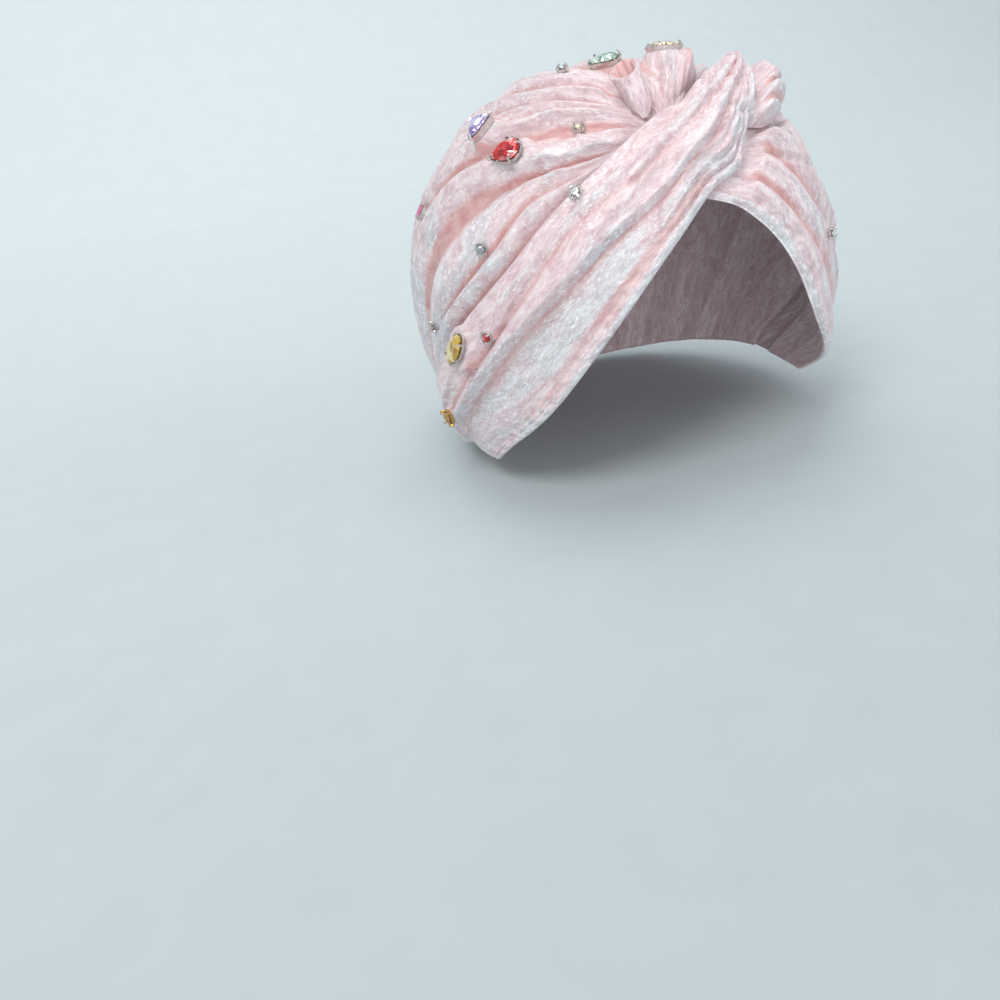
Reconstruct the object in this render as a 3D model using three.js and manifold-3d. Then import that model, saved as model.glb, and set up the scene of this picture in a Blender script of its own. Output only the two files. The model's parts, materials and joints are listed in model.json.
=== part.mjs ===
import * as THREE from 'three';
import { mergeVertices } from 'three/addons/utils/BufferGeometryUtils.js';
import Module from 'manifold-3d';

// Turban headwrap in pale crushed velvet with sewn-on cut stones, sizes in millimetres.
// Front is -Y, up is +Z and the wearer's left is +X.
// The origin is the middle of the head hollow at brow height.

// Head form under the cloth
const HALF_WIDTH = 85;
const FRONT_DEPTH = 89;
const BACK_DEPTH = 107;
const CROWN_HEIGHT = 98;
const LOWER_DEPTH = 150;
const FORM_POWER = 2.2;
const BROW_NARROWING = 0.12;
const NAPE_NARROWING = 0.22;
const LOWER_NARROWING = 0.25;

// Cloth
const CLOTH = 2.2;
const LAYER_GAP = 0.9;
const FOLD_HOLLOW = 0.7;

// Crown folds run from a gather under the knot to a gather below the nape
const KNOT_GATHER = new THREE.Vector3(-0.02, -0.58, 0.81).normalize();
const NAPE_GATHER = new THREE.Vector3(0, 0.35, -1).normalize();
const CROWN_START = -3.9;
const CROWN_COLUMNS = 16;

// Height of the lower hem by bearing from the front
const HEM_BEARINGS = [-180, -155, -130, -105, -85, -70, 70, 85, 105, 130, 155, 180];
const HEM_LEVELS = [-50, -47, -42, -39, -41, -42, -42, -41, -39, -42, -47, -50];

// Crown lines: turn in degrees at each station along the folds, height at each level, rows to the next line
const TURN_STATIONS = [-3.2, -2.2, -1.6, -1.2, -0.8, -0.4, 0, 0.4];
const HEIGHT_STATIONS = [-2.6, -1.2, -0.4, 0, 0.5];
const CROWN_LINES = [
  { name: 'right edge', turn: [60, 68, 66, 68, 68, 75, 86, 94], height: [0, 0, 0, 0, 0], rows: 2 },
  { name: 'right tuck', turn: [79, 78, 76, 79, 79, 85, 95, 102], height: [0, 0, 0, 0, 0], rows: 2 },
  { name: 'side lip low', turn: [83, 81, 81, 86, 86, 92, 101, 107], height: [0, 3.5, 5, 1, -0.5], rows: 1 },
  { name: 'side dip low', turn: [86, 83, 84.5, 90, 89.5, 94.5, 103, 109],
    height: [0, 1, 0, -2.5, -1], rows: 2 },
  { name: 'side lip', turn: [89, 85, 88, 96, 94, 99, 107, 111.5], height: [0, 3.5, 4.5, -1, -0.5], rows: 2 },
  { name: 'deep dip', turn: [92, 87, 92, 100, 107.5, 111, 114, 116],
    height: [0, -0.5, -0.5, -1, 0], rows: 2 },
  { name: 'deep lip', turn: [97, 91, 95.5, 107, 116, 119, 120, 120], height: [0.6, 6, 7, 4, 2], rows: 2 },
  { name: 'upper dip', turn: [108, 112, 115, 118, 124, 127, 127, 126], height: [0, 0, 1, 1, 0.5], rows: 2 },
  { name: 'upper lip', turn: [113, 121, 122, 125, 129.5, 132, 132, 130], height: [0.6, 6, 5, 4, 2], rows: 2 },
  { name: 'soft dip', turn: [119, 127, 128, 130, 135, 138, 138, 136],
    height: [0.3, 2.5, 2.5, 2, 1], rows: 1 },
  { name: 'soft lip', turn: [122, 132, 132, 134, 139, 142, 142, 140],
    height: [0.5, 3.5, 3.5, 3, 1.5], rows: 1 },
  { name: 'high dip', turn: [126, 138, 138.5, 138.5, 145, 148, 148, 146],
    height: [0, 0.5, 1.5, 1, 0.5], rows: 2 },
  { name: 'high lip', turn: [131, 147, 142.5, 142, 149, 152, 153, 151],
    height: [0.5, 4.5, 4, 3.6, 2], rows: 2 },
  { name: 'top dip', turn: [135, 151, 150, 149.5, 156, 159, 160, 159], height: [0, 0, 1, 1, 0.5], rows: 2 },
  { name: 'top lip', turn: [141, 158, 157, 155, 162, 165, 166, 165], height: [0.5, 5, 4, 3.6, 2], rows: 2 },
  { name: 'back dip right', turn: [152, 172, 172, 172, 174, 175, 176, 175],
    height: [0, 1, 1, 1, 0.5], rows: 2 },
  { name: 'back lip right', turn: [160, 181, 180, 180, 182, 183, 183, 182],
    height: [0.5, 4.5, 4.5, 4, 2], rows: 2 },
  { name: 'back dip', turn: [170, 193, 191, 190, 191, 192, 192, 191], height: [0, 0.8, 1, 1, 0.5], rows: 2 },
  { name: 'back lip left', turn: [178, 201, 200, 199, 199, 200, 200, 199],
    height: [0.5, 4, 4.5, 4, 2], rows: 2 },
  { name: 'back dip left', turn: [192, 212, 211, 209, 208, 208, 208, 207],
    height: [0, 0.8, 0.8, 0.8, 0.5], rows: 2 },
  { name: 'left lip high', turn: [202, 221, 220, 218, 216, 216, 215, 214],
    height: [0.5, 4.5, 5, 4.5, 2], rows: 2 },
  { name: 'left dip high', turn: [216, 232, 230, 227, 225, 224, 223, 221],
    height: [0, 0.5, 0.6, 0.6, 0.4], rows: 2 },
  { name: 'left lip', turn: [225, 238, 238, 236, 234, 232, 230, 228],
    height: [0.5, 5, 5.5, 4.5, 2], rows: 2 },
  { name: 'left dip', turn: [240, 247, 245, 243, 242, 240, 237, 234],
    height: [0, 0, 0.3, 0.3, 0.3], rows: 2 },
  { name: 'left lip low', turn: [250, 253, 252, 253, 252, 249, 244, 240],
    height: [0.3, 4.5, 5, 4, 2], rows: 2 },
  { name: 'left tuck', turn: [266, 261, 262, 266, 266, 263, 257, 250], height: [0, 0, 0, 0, 0], rows: 2 },
  { name: 'left edge', turn: [290, 276, 272, 278, 278, 275, 269, 261], height: [0, 0, 0, 0, 0], rows: 0 },
];

// Bands: bearing and elevation in degrees of the face edge and of the rear edge
const RIGHT_BAND = [
  { name: 'ear tip', face: [74, -27], rear: [112, -24] },
  { name: 'ear', face: [64, -20], rear: [101, -10] },
  { name: 'cheek', face: [54, -13], rear: [88, 0] },
  { name: 'temple low', face: [45, -5], rear: [77, 9] },
  { name: 'temple', face: [36, 5], rear: [66, 18] },
  { name: 'temple high', face: [28, 14], rear: [55, 27] },
  { name: 'brow side', face: [20, 22.5], rear: [44, 37] },
  { name: 'brow', face: [11, 30.5], rear: [32, 45] },
  { name: 'peak', face: [0, 38.3], rear: [20, 52] },
  { name: 'crossing', face: [-10, 41.3], rear: [9, 56.5] },
  { name: 'rise', face: [-14.5, 44.5], rear: [-3, 59] },
  { name: 'ridge front', face: [-18, 48.4], rear: [-11, 59.6] },
  { name: 'ridge', face: [-24.5, 52.6], rear: [-19.5, 60.6] },
  { name: 'ridge back', face: [-31, 56], rear: [-28.5, 62] },
  { name: 'over', face: [-37, 59], rear: [-36.5, 63.2] },
  { name: 'tuck', face: [-43.5, 61.2], rear: [-44.5, 64.4] },
];
const LEFT_BAND = [
  { name: 'start under the crossing', face: [6, 39], rear: [-18, 59] },
  { name: 'brow', face: [-5.5, 35.5], rear: [-38, 53] },
  { name: 'brow side', face: [-12, 31], rear: [-49, 44.5] },
  { name: 'temple high', face: [-18, 24.5], rear: [-59, 34] },
  { name: 'temple', face: [-23, 16.5], rear: [-68, 25] },
  { name: 'temple low', face: [-27.5, 8], rear: [-77, 16] },
  { name: 'cheek high', face: [-33, 0], rear: [-86, 7] },
  { name: 'cheek', face: [-42, -8], rear: [-95, -2] },
  { name: 'ear', face: [-55, -17], rear: [-104, -11] },
  { name: 'ear tip', face: [-74, -27], rear: [-112, -24] },
];

// Band folds: share of the way from face edge to rear edge at each station, and height
const RIGHT_FOLD_STATIONS = [0, 2, 4, 6, 8, 10, 12, 15];
const RIGHT_FOLDS = [
  { name: 'hem', across: [0, 0, 0, 0, 0, 0, 0, 0], height: [0, 0, 0, 0, 0, 0, 0, 0], rows: 1 },
  { name: 'hem roll', across: [0.04, 0.04, 0.04, 0.05, 0.06, 0.07, 0.08, 0.08],
    height: [1, 1.2, 1.2, 1.2, 1.4, 1.4, 1.2, 0.5], rows: 1 },
  { name: 'hem dip', across: [0.1, 0.1, 0.12, 0.12, 0.12, 0.14, 0.12, 0.12],
    height: [0.8, 0.5, 0.4, 0.4, 0.8, 1, 0.8, 0.4], rows: 2 },
  { name: 'facet', across: [0.3, 0.34, 0.34, 0.3, 0.22, 0.26, 0.24, 0.22],
    height: [1.4, 1.8, 2, 2, 2, 1.8, 1.2, 0.5], rows: 2 },
  { name: 'shade', across: [0.45, 0.51, 0.51, 0.44, 0.33, 0.43, 0.4, 0.34],
    height: [1, 1.4, 1.6, 1.8, 2, 1.8, 1.2, 0.5], rows: 1 },
  { name: 'long crest', across: [0.51, 0.57, 0.57, 0.5, 0.39, 0.5, 0.48, 0.42],
    height: [2.4, 4.4, 5.2, 5.6, 5.4, 4.6, 3, 0.8], rows: 2 },
  { name: 'middle dip', across: [0.58, 0.63, 0.67, 0.72, 0.59, 0.63, 0.6, 0.56],
    height: [0.6, 2, 2.6, 3.4, 3.6, 2.8, 1, 0.3], rows: 1 },
  { name: 'rear crest', across: [0.7, 0.76, 0.8, 0.81, 0.71, 0.73, 0.7, 0.66],
    height: [1, 3.8, 4.2, 4.4, 4.6, 3.8, 2.2, 0.6], rows: 1 },
  { name: 'rear dip', across: [0.82, 0.87, 0.89, 0.88, 0.83, 0.84, 0.82, 0.8],
    height: [0.4, 2.2, 2.6, 3, 3, 2.6, 1.2, 0.4], rows: 1 },
  { name: 'rear roll', across: [0.92, 0.94, 0.95, 0.94, 0.93, 0.93, 0.92, 0.92],
    height: [0.5, 1.8, 2.2, 3, 3.4, 2.8, 1.4, 0.4], rows: 1 },
  { name: 'rear edge', across: [1, 1, 1, 1, 1, 1, 1, 1], height: [0, 0, 0, 0, 0, 0, 0, 0], rows: 0 },
];
const LEFT_FOLD_STATIONS = [0, 1.5, 3, 5, 7, 9];
const LEFT_FOLDS = [
  { name: 'hem', across: [0, 0, 0, 0, 0, 0], height: [0, 0, 0, 0, 0, 0], rows: 1 },
  { name: 'hem roll', across: [0.07, 0.06, 0.05, 0.05, 0.05, 0.05],
    height: [1.2, 2, 2, 1.4, 1, 0.8], rows: 1 },
  { name: 'hem facet', across: [0.17, 0.15, 0.14, 0.16, 0.18, 0.18],
    height: [2.2, 4.5, 4, 2.6, 1.6, 1], rows: 1 },
  { name: 'low dip', across: [0.26, 0.24, 0.22, 0.26, 0.3, 0.3], height: [1, 2, 1.6, 1, 0.4, 0.4], rows: 2 },
  { name: 'low crest', across: [0.38, 0.37, 0.36, 0.4, 0.44, 0.44],
    height: [3, 6, 5, 3.6, 2.4, 1.2], rows: 1 },
  { name: 'middle dip', across: [0.5, 0.5, 0.5, 0.54, 0.57, 0.57],
    height: [1, 3, 1.4, 0.8, 0.4, 0.3], rows: 2 },
  { name: 'middle crest', across: [0.62, 0.62, 0.63, 0.67, 0.7, 0.7],
    height: [3, 6, 2.8, 2.4, 1.8, 0.9], rows: 1 },
  { name: 'high dip', across: [0.75, 0.75, 0.77, 0.8, 0.82, 0.82],
    height: [1, 4, 0.8, 0.6, 0.5, 0.3], rows: 1 },
  { name: 'high roll', across: [0.88, 0.88, 0.9, 0.92, 0.93, 0.93],
    height: [2.4, 5.4, 1.8, 1.4, 1, 0.5], rows: 1 },
  { name: 'rear edge', across: [1, 1, 1, 1, 1, 1], height: [0, 0, 0, 0, 0, 0], rows: 0 },
];
const RIGHT_COLUMNS = 30;
const LEFT_COLUMNS = 24;

// Twisted knot: the roll of cloth beside the crossing
const KNOT_CENTRE = [-31.5, 56];
const KNOT_HALF_ACROSS = 20;
const KNOT_HALF_UP = 14.5;
const KNOT_HEIGHT = 13;
const KNOT_TUCK = 0.6;
const KNOT_RIM = 1.4;
const KNOT_SPARE = 0.9;
const KNOT_ROWS = 19;
const KNOT_COLUMNS = 11;
const KNOT_REACH = 0.95;
const KNOT_GROOVES = [
  { name: 'strip groove', up: -5, width: 1.5, depth: 3 },
  { name: 'low groove', up: -10.5, width: 1.5, depth: 2.2 },
];

// Rolled pleats standing on the crown behind the bands: the tunnel is open at its mouth, the puff is closed.
// A slant draws the outward side of a ring back along the pleat, in shares of its radius.
const TUNNEL = [
  { name: 'foot', at: [12, 57.6], radius: 2.2, lift: 1, slant: 0 },
  { name: 'waist', at: [12.5, 60.4], radius: 3.7, lift: 2.6, slant: 0.1 },
  { name: 'throat', at: [14, 64], radius: 5, lift: 4.2, slant: 0.5 },
  { name: 'mouth', at: [17, 69.5], radius: 5.8, lift: 5.4, slant: 1 },
];
const TUNNEL_WALL = 2;
const PUFF = [
  { name: 'foot', at: [-6, 64], radius: 2.6, lift: 0, slant: 0 },
  { name: 'middle', at: [-12, 66.3], radius: 4.6, lift: 2, slant: 0 },
  { name: 'shoulder', at: [-20, 68.5], radius: 5.8, lift: 4, slant: 0 },
  { name: 'head', at: [-30, 70.5], radius: 5.6, lift: 5, slant: 0 },
  { name: 'crest', at: [-40, 72], radius: 4, lift: 4.6, slant: 0 },
  { name: 'tip', at: [-47, 72.8], radius: 1.6, lift: 4, slant: 0 },
];
const PLEAT_SIDES = 10;

// Cut stones: place as bearing and elevation, length and width, turn about the outward axis
const STONES = [
  { name: 'lavender', cut: 'trillion', at: [80, 56], length: 12, width: 12, turn: 50, gem: 0xb9a3e0 },
  { name: 'red_pear', cut: 'pear', at: [59, 49.5], length: 12, width: 10, turn: 205, gem: 0xd0121c },
  { name: 'amber', cut: 'navette', at: [70, 8], length: 15, width: 8, turn: 52, gem: 0xd8b23a },
  { name: 'fuchsia', cut: 'round', at: [104, 35], length: 7, width: 7, turn: 0, gem: 0xc81578 },
  { name: 'pale_green', cut: 'step', at: [22, 82], length: 11, width: 7.5, turn: 13, gem: 0xa9cdb4 },
  { name: 'champagne', cut: 'step', at: [-42, 75.6], length: 12.5, width: 7.5, turn: 25, gem: 0xd9c98f },
  { name: 'amber_round', cut: 'round', at: [84, -13], length: 6, width: 6, turn: 0, gem: 0xb98a4a },
  { name: 'small_champagne', cut: 'small', at: [37, 56], length: 3.2, width: 3.2, turn: 0, gem: 0xe0d2a2 },
  { name: 'small_clear_band', cut: 'small', at: [35.5, 40], length: 3.2, width: 3.2, turn: 0, gem: 0xdfe4e6 },
  { name: 'small_clear_side', cut: 'small', at: [64, 31], length: 3.2, width: 3.2, turn: 0, gem: 0xdfe4e6 },
  { name: 'small_red', cut: 'small', at: [60, 12], length: 3.2, width: 3.2, turn: 0, gem: 0xd0121c },
  { name: 'small_grey', cut: 'small', at: [93, 9], length: 3.2, width: 3.2, turn: 0, gem: 0x9aa6ab },
  { name: 'small_clear_left', cut: 'small', at: [-38, 21], length: 3.2, width: 3.2, turn: 0, gem: 0xdfe4e6 },
  { name: 'small_clear_top', cut: 'small', at: [66, 76.5], length: 3.2, width: 3.2, turn: 0, gem: 0xdfe4e6 },
  { name: 'left_violet', cut: 'trillion', at: [-80, 52], length: 11, width: 11, turn: 60, gem: 0xb9a3e0 },
  { name: 'back_red', cut: 'navette', at: [150, 44], length: 13, width: 7, turn: 80, gem: 0xd0121c },
];
const CUTS = {
  round: { sides: 10, prongs: [1.25, 3.75, 6.25, 8.75], half: 0.5 },
  small: { sides: 8, prongs: [1, 3, 5, 7], half: 0.5 },
  navette: { sides: 12, prongs: [1.5, 4.5, 7.5, 10.5], half: 0.5 },
  pear: { sides: 12, prongs: [0, 3.5, 6, 8.5], half: 0.5 },
  trillion: { sides: 12, prongs: [0, 4, 8], half: 0.5 },
  step: { sides: 8, prongs: [0.5, 2.5, 4.5, 6.5], half: 0 },
};
const STEP_CORNERS = [
  [1, 0.55], [0.7, 1], [-0.7, 1], [-1, 0.55],
  [-1, -0.55], [-0.7, -1], [0.7, -1], [1, -0.55],
];
const SEAT_GAP = 0.45;
const GEM_GAP = 0.35;
const CUP_FLOOR = 0.45;
const CUP_WALL = 0.5;
const CUP_FOOT = 0.86;
const PAVILION_SHARE = 0.17;
const GIRDLE = 0.35;
const CROWN_SHARE = 0.15;
const TABLE_SHARE = 0.56;
const PRONG_SHARE = 0.09;

const DEGREE = Math.PI / 180;

function lerp(a, b, share) {
  return a + (b - a) * share;
}

function ease(low, high, value) {
  const share = Math.min(1, Math.max(0, (value - low) / (high - low)));
  return share * share * (3 - 2 * share);
}

// Smooth curve through a table of values
function along(stations, values, place) {
  const last = stations.length - 1;
  if (place <= stations[0]) return values[0];
  if (place >= stations[last]) return values[last];
  let i = 0;
  while (place > stations[i + 1]) i += 1;
  const span = stations[i + 1] - stations[i];
  const share = (place - stations[i]) / span;
  const slope = (j) => {
    const lo = Math.max(0, j - 1);
    const hi = Math.min(last, j + 1);
    return (values[hi] - values[lo]) / (stations[hi] - stations[lo]);
  };
  const two = share * share;
  const three = two * share;
  const start = (2 * three - 3 * two + 1) * values[i] + (three - 2 * two + share) * span * slope(i);
  const finish = (3 * two - 2 * three) * values[i + 1] + (three - two) * span * slope(i + 1);
  return start + finish;
}

// Unit direction for a bearing (towards the wearer's right) and an elevation
function pointing(bearing, elevation) {
  const flat = Math.cos(elevation * DEGREE);
  const x = -Math.sin(bearing * DEGREE) * flat;
  const y = -Math.cos(bearing * DEGREE) * flat;
  return new THREE.Vector3(x, y, Math.sin(elevation * DEGREE));
}

function bearingOf(direction) {
  return Math.atan2(-direction.x, -direction.y) / DEGREE;
}

// Distance from the origin to the head form
function formRadius(direction) {
  const front = Math.max(0, -direction.y);
  const below = Math.max(0, -direction.z);
  const lower = 1 - LOWER_NARROWING * below * below;
  const wide = HALF_WIDTH * (1 - BROW_NARROWING * front * front) * lower;
  const depth = direction.y < 0 ? FRONT_DEPTH : BACK_DEPTH * (1 - NAPE_NARROWING * below * below);
  const deep = depth * lower;
  const tall = direction.z > 0 ? CROWN_HEIGHT : LOWER_DEPTH;
  const sum = Math.abs(direction.x / wide) ** FORM_POWER
    + Math.abs(direction.y / deep) ** FORM_POWER
    + Math.abs(direction.z / tall) ** FORM_POWER;
  return sum ** (-1 / FORM_POWER);
}

// Fan of fold lines from the knot gather to the nape gather
const DOWN = new THREE.Vector3(0, -0.2, -1);
const FAN_DOWN = DOWN.clone().addScaledVector(KNOT_GATHER, -DOWN.dot(KNOT_GATHER)).normalize();
const FAN_SIDE = new THREE.Vector3().crossVectors(FAN_DOWN, KNOT_GATHER);
const NAPE_REACH = Math.tan(Math.acos(NAPE_GATHER.dot(KNOT_GATHER)) / 2);
const NAPE_TURN = Math.atan2(NAPE_GATHER.dot(FAN_SIDE), NAPE_GATHER.dot(FAN_DOWN));

function fanDirection(place, turn) {
  const size = Math.exp(place);
  const x = size * Math.cos(turn * DEGREE);
  const y = size * Math.sin(turn * DEGREE);
  const shrink = size / NAPE_REACH;
  const bottomX = 1 + shrink * Math.cos(turn * DEGREE - NAPE_TURN);
  const bottomY = shrink * Math.sin(turn * DEGREE - NAPE_TURN);
  const bottom = bottomX * bottomX + bottomY * bottomY;
  const wx = (x * bottomX + y * bottomY) / bottom;
  const wy = (y * bottomX - x * bottomY) / bottom;
  const tilt = 2 * Math.atan(Math.hypot(wx, wy));
  const heading = Math.atan2(wy, wx);
  return KNOT_GATHER.clone().multiplyScalar(Math.cos(tilt))
    .addScaledVector(FAN_DOWN, Math.sin(tilt) * Math.cos(heading))
    .addScaledVector(FAN_SIDE, Math.sin(tilt) * Math.sin(heading));
}

function fanPlace(direction) {
  const reach = Math.tan(Math.acos(Math.min(1, direction.dot(KNOT_GATHER))) / 2);
  const heading = Math.atan2(direction.dot(FAN_SIDE), direction.dot(FAN_DOWN));
  const wx = reach * Math.cos(heading);
  const wy = reach * Math.sin(heading);
  const part = reach / NAPE_REACH;
  const bottomX = 1 - part * Math.cos(heading - NAPE_TURN);
  const bottomY = -part * Math.sin(heading - NAPE_TURN);
  const bottom = bottomX * bottomX + bottomY * bottomY;
  const zx = (wx * bottomX + wy * bottomY) / bottom;
  const zy = (wy * bottomX - wx * bottomY) / bottom;
  const turn = Math.atan2(zy, zx) / DEGREE;
  return { place: Math.log(Math.hypot(zx, zy)), turn: turn < -20 ? turn + 360 : turn };
}

// Flat map of directions seen from above, degrees from the crown
function mapped(direction) {
  const fall = 90 - Math.asin(direction.z) / DEGREE;
  const flat = Math.hypot(direction.x, direction.y) || 1;
  return [fall * direction.x / flat, fall * direction.y / flat];
}

// Signed distance in degrees from a closed outline on the map, negative inside
function outsideBy(outline, direction) {
  const [px, py] = mapped(direction);
  let nearest = Infinity;
  let inside = false;
  outline.forEach(([ax, ay], i) => {
    const [bx, by] = outline[(i + 1) % outline.length];
    const dx = bx - ax;
    const dy = by - ay;
    const share = Math.min(1, Math.max(0, ((px - ax) * dx + (py - ay) * dy) / (dx * dx + dy * dy)));
    nearest = Math.min(nearest, Math.hypot(px - ax - share * dx, py - ay - share * dy));
    if ((ay > py) !== (by > py) && px < ax + (py - ay) * dx / dy) inside = !inside;
  });
  return inside ? -nearest : nearest;
}

function bandOutline(stations) {
  const face = stations.map((row) => mapped(pointing(...row.face)));
  const rear = stations.map((row) => mapped(pointing(...row.rear)));
  return [...face, ...rear.reverse()];
}

const RIGHT_OUTLINE = bandOutline(RIGHT_BAND);
const LEFT_OUTLINE = bandOutline(LEFT_BAND);

// Place of a direction on the knot, across and up from its middle
const KNOT_OUT = pointing(...KNOT_CENTRE);
const KNOT_SIDE = new THREE.Vector3(0, 0, 1).cross(KNOT_OUT).normalize();
const KNOT_UP = new THREE.Vector3().crossVectors(KNOT_OUT, KNOT_SIDE);
const KNOT_RADIUS = formRadius(KNOT_OUT);

function knotPlace(direction) {
  const scale = KNOT_RADIUS / Math.max(0.2, direction.dot(KNOT_OUT));
  return { side: direction.dot(KNOT_SIDE) * scale, up: direction.dot(KNOT_UP) * scale };
}

function knotReach(direction) {
  const { side, up } = knotPlace(direction);
  return Math.hypot(side / KNOT_HALF_ACROSS, up / KNOT_HALF_UP);
}

// Height above the form of the folds on the crown
const RIGHT_CROWN_EDGE = CROWN_LINES[0].turn;
const LEFT_CROWN_EDGE = CROWN_LINES[CROWN_LINES.length - 1].turn;

function overCrown(direction) {
  const { place, turn } = fanPlace(direction);
  const arc = 2 / (Math.exp(place) + Math.exp(-place));
  const right = ease(-8, -3.5, arc * (turn - along(TURN_STATIONS, RIGHT_CROWN_EDGE, place)));
  const left = ease(-8, -3.5, arc * (along(TURN_STATIONS, LEFT_CROWN_EDGE, place) - turn));
  return Math.max(right * left, ease(-2, -2.6, place));
}

function uncovered(direction) {
  const right = ease(1.4, 5, outsideBy(RIGHT_OUTLINE, direction));
  const left = ease(1.5, 6, outsideBy(LEFT_OUTLINE, direction));
  return right * left * ease(1.08, 1.4, knotReach(direction));
}

// Closed shell between an outer and an inner grid of points
function shellGeometry(outer, inner) {
  const rows = outer.length;
  const columns = outer[0].length;
  const points = [];
  [outer, inner].forEach((grid) => grid.forEach((row) => row.forEach((p) => points.push(p.x, p.y, p.z))));
  const at = (layer, i, j) => (layer * rows + i) * columns + j;
  const faces = [];
  const quad = (a, b, c, d) => faces.push(a, b, c, a, c, d);
  for (let i = 0; i < rows - 1; i += 1) {
    for (let j = 0; j < columns - 1; j += 1) {
      quad(at(0, i, j), at(0, i + 1, j), at(0, i + 1, j + 1), at(0, i, j + 1));
      quad(at(1, i, j), at(1, i, j + 1), at(1, i + 1, j + 1), at(1, i + 1, j));
    }
  }
  for (let i = 0; i < rows - 1; i += 1) {
    quad(at(0, i, 0), at(1, i, 0), at(1, i + 1, 0), at(0, i + 1, 0));
    quad(at(0, i + 1, columns - 1), at(1, i + 1, columns - 1), at(1, i, columns - 1), at(0, i, columns - 1));
  }
  for (let j = 0; j < columns - 1; j += 1) {
    quad(at(0, 0, j + 1), at(1, 0, j + 1), at(1, 0, j), at(0, 0, j));
    quad(at(0, rows - 1, j), at(1, rows - 1, j), at(1, rows - 1, j + 1), at(0, rows - 1, j + 1));
  }
  return outward(points, faces);
}

// Builds the geometry with its faces turned outwards
function outward(points, faces) {
  const geometry = new THREE.BufferGeometry();
  geometry.setAttribute('position', new THREE.Float32BufferAttribute(points, 3));
  let volume = 0;
  const corner = (i) => new THREE.Vector3(points[3 * i], points[3 * i + 1], points[3 * i + 2]);
  for (let f = 0; f < faces.length; f += 3) {
    volume += corner(faces[f]).dot(corner(faces[f + 1]).cross(corner(faces[f + 2])));
  }
  geometry.setIndex(volume > 0 ? faces : [...faces].reverse());
  geometry.computeVertexNormals();
  return geometry;
}

const group = new THREE.Group();
group.name = 'turban_headwrap';

const VELVET = new THREE.MeshStandardMaterial({ color: 0xe8cdd0, roughness: 0.55, metalness: 0 });
const METAL = new THREE.MeshStandardMaterial({ color: 0xc9c3b4, roughness: 0.3, metalness: 1 });

function addMesh(name, geometry, material) {
  const mesh = new THREE.Mesh(geometry, material);
  mesh.name = name;
  group.add(mesh);
  return mesh;
}

// Rows of a folded sheet: each line of the table and the rows between it and the next
function foldRows(lines) {
  const rows = [];
  lines.forEach((line, i) => {
    const next = lines[i + 1];
    for (let k = 0; k < Math.max(1, line.rows); k += 1) {
      rows.push({ line, next: next || line, share: next ? k / line.rows : 0 });
    }
  });
  return rows;
}

// Round at the crests and sharp in the dips
function foldHeight(low, high, share) {
  if (high >= low) return lerp(low, high, Math.sin(share * Math.PI / 2));
  return lerp(high, low, Math.sin((1 - share) * Math.PI / 2));
}

// Crown: pleated cap from the knot gather to the hem
function crownEnd(turn) {
  let low = -0.6;
  let high = 2.4;
  for (let k = 0; k < 40; k += 1) {
    const middle = (low + high) / 2;
    const direction = fanDirection(middle, turn(middle));
    const level = formRadius(direction) * direction.z;
    if (level > along(HEM_BEARINGS, HEM_LEVELS, bearingOf(direction))) low = middle;
    else high = middle;
  }
  return low;
}

function crownGrids() {
  const outer = [];
  const inner = [];
  foldRows(CROWN_LINES).forEach(({ line, next, share }) => {
    const turn = (s) => lerp(along(TURN_STATIONS, line.turn, s), along(TURN_STATIONS, next.turn, s), share);
    const end = crownEnd(turn);
    const outerRow = [];
    const innerRow = [];
    for (let j = 0; j < CROWN_COLUMNS; j += 1) {
      const s = lerp(CROWN_START, end, (j / (CROWN_COLUMNS - 1)) ** 0.8);
      const direction = fanDirection(s, turn(s));
      const low = along(HEIGHT_STATIONS, line.height, s);
      const high = along(HEIGHT_STATIONS, next.height, s);
      const height = foldHeight(low, high, share) * uncovered(direction);
      const radius = formRadius(direction);
      outerRow.push(direction.clone().multiplyScalar(radius + height));
      innerRow.push(direction.clone().multiplyScalar(radius - CLOTH + FOLD_HOLLOW * height));
    }
    outer.push(outerRow);
    inner.push(innerRow);
  });
  return [outer, inner];
}

// Knot: mound height by direction, zero outside its outline
function knotMound(direction) {
  const { side, up } = knotPlace(direction);
  const reach = (side / KNOT_HALF_ACROSS) ** 2 + (up / KNOT_HALF_UP) ** 2;
  return KNOT_HEIGHT * Math.sqrt(Math.max(0, 1 - reach * reach));
}

function knotHeight(direction) {
  const { up } = knotPlace(direction);
  const covered = 1 - ease(1.6, 4.6, outsideBy(RIGHT_OUTLINE, direction));
  let height = knotMound(direction) * (1 - KNOT_TUCK * covered);
  KNOT_GROOVES.forEach((groove) => {
    height -= groove.depth * (1 - covered) * Math.exp(-(((up - groove.up) / groove.width) ** 2));
  });
  return Math.max(0, height);
}

const LAYER = CLOTH + LAYER_GAP;
const KNOT_SEAT = LAYER_GAP + LAYER;

function knotGrids() {
  const outer = [];
  const inner = [];
  for (let i = 0; i < KNOT_ROWS; i += 1) {
    const share = KNOT_REACH * lerp(-1, 1, i / (KNOT_ROWS - 1));
    const across = KNOT_HALF_ACROSS * Math.sqrt(1 - share * share);
    const outerRow = [];
    const innerRow = [];
    for (let j = 0; j < KNOT_COLUMNS; j += 1) {
      const side = -across * Math.cos(j / (KNOT_COLUMNS - 1) * Math.PI);
      const direction = KNOT_OUT.clone().multiplyScalar(KNOT_RADIUS)
        .addScaledVector(KNOT_SIDE, side).addScaledVector(KNOT_UP, share * KNOT_HALF_UP).normalize();
      const radius = formRadius(direction) + KNOT_SEAT;
      outerRow.push(direction.clone().multiplyScalar(radius + KNOT_RIM + knotHeight(direction)));
      innerRow.push(direction.clone().multiplyScalar(radius));
    }
    outer.push(outerRow);
    inner.push(innerRow);
  }
  return [outer, inner];
}

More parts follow.
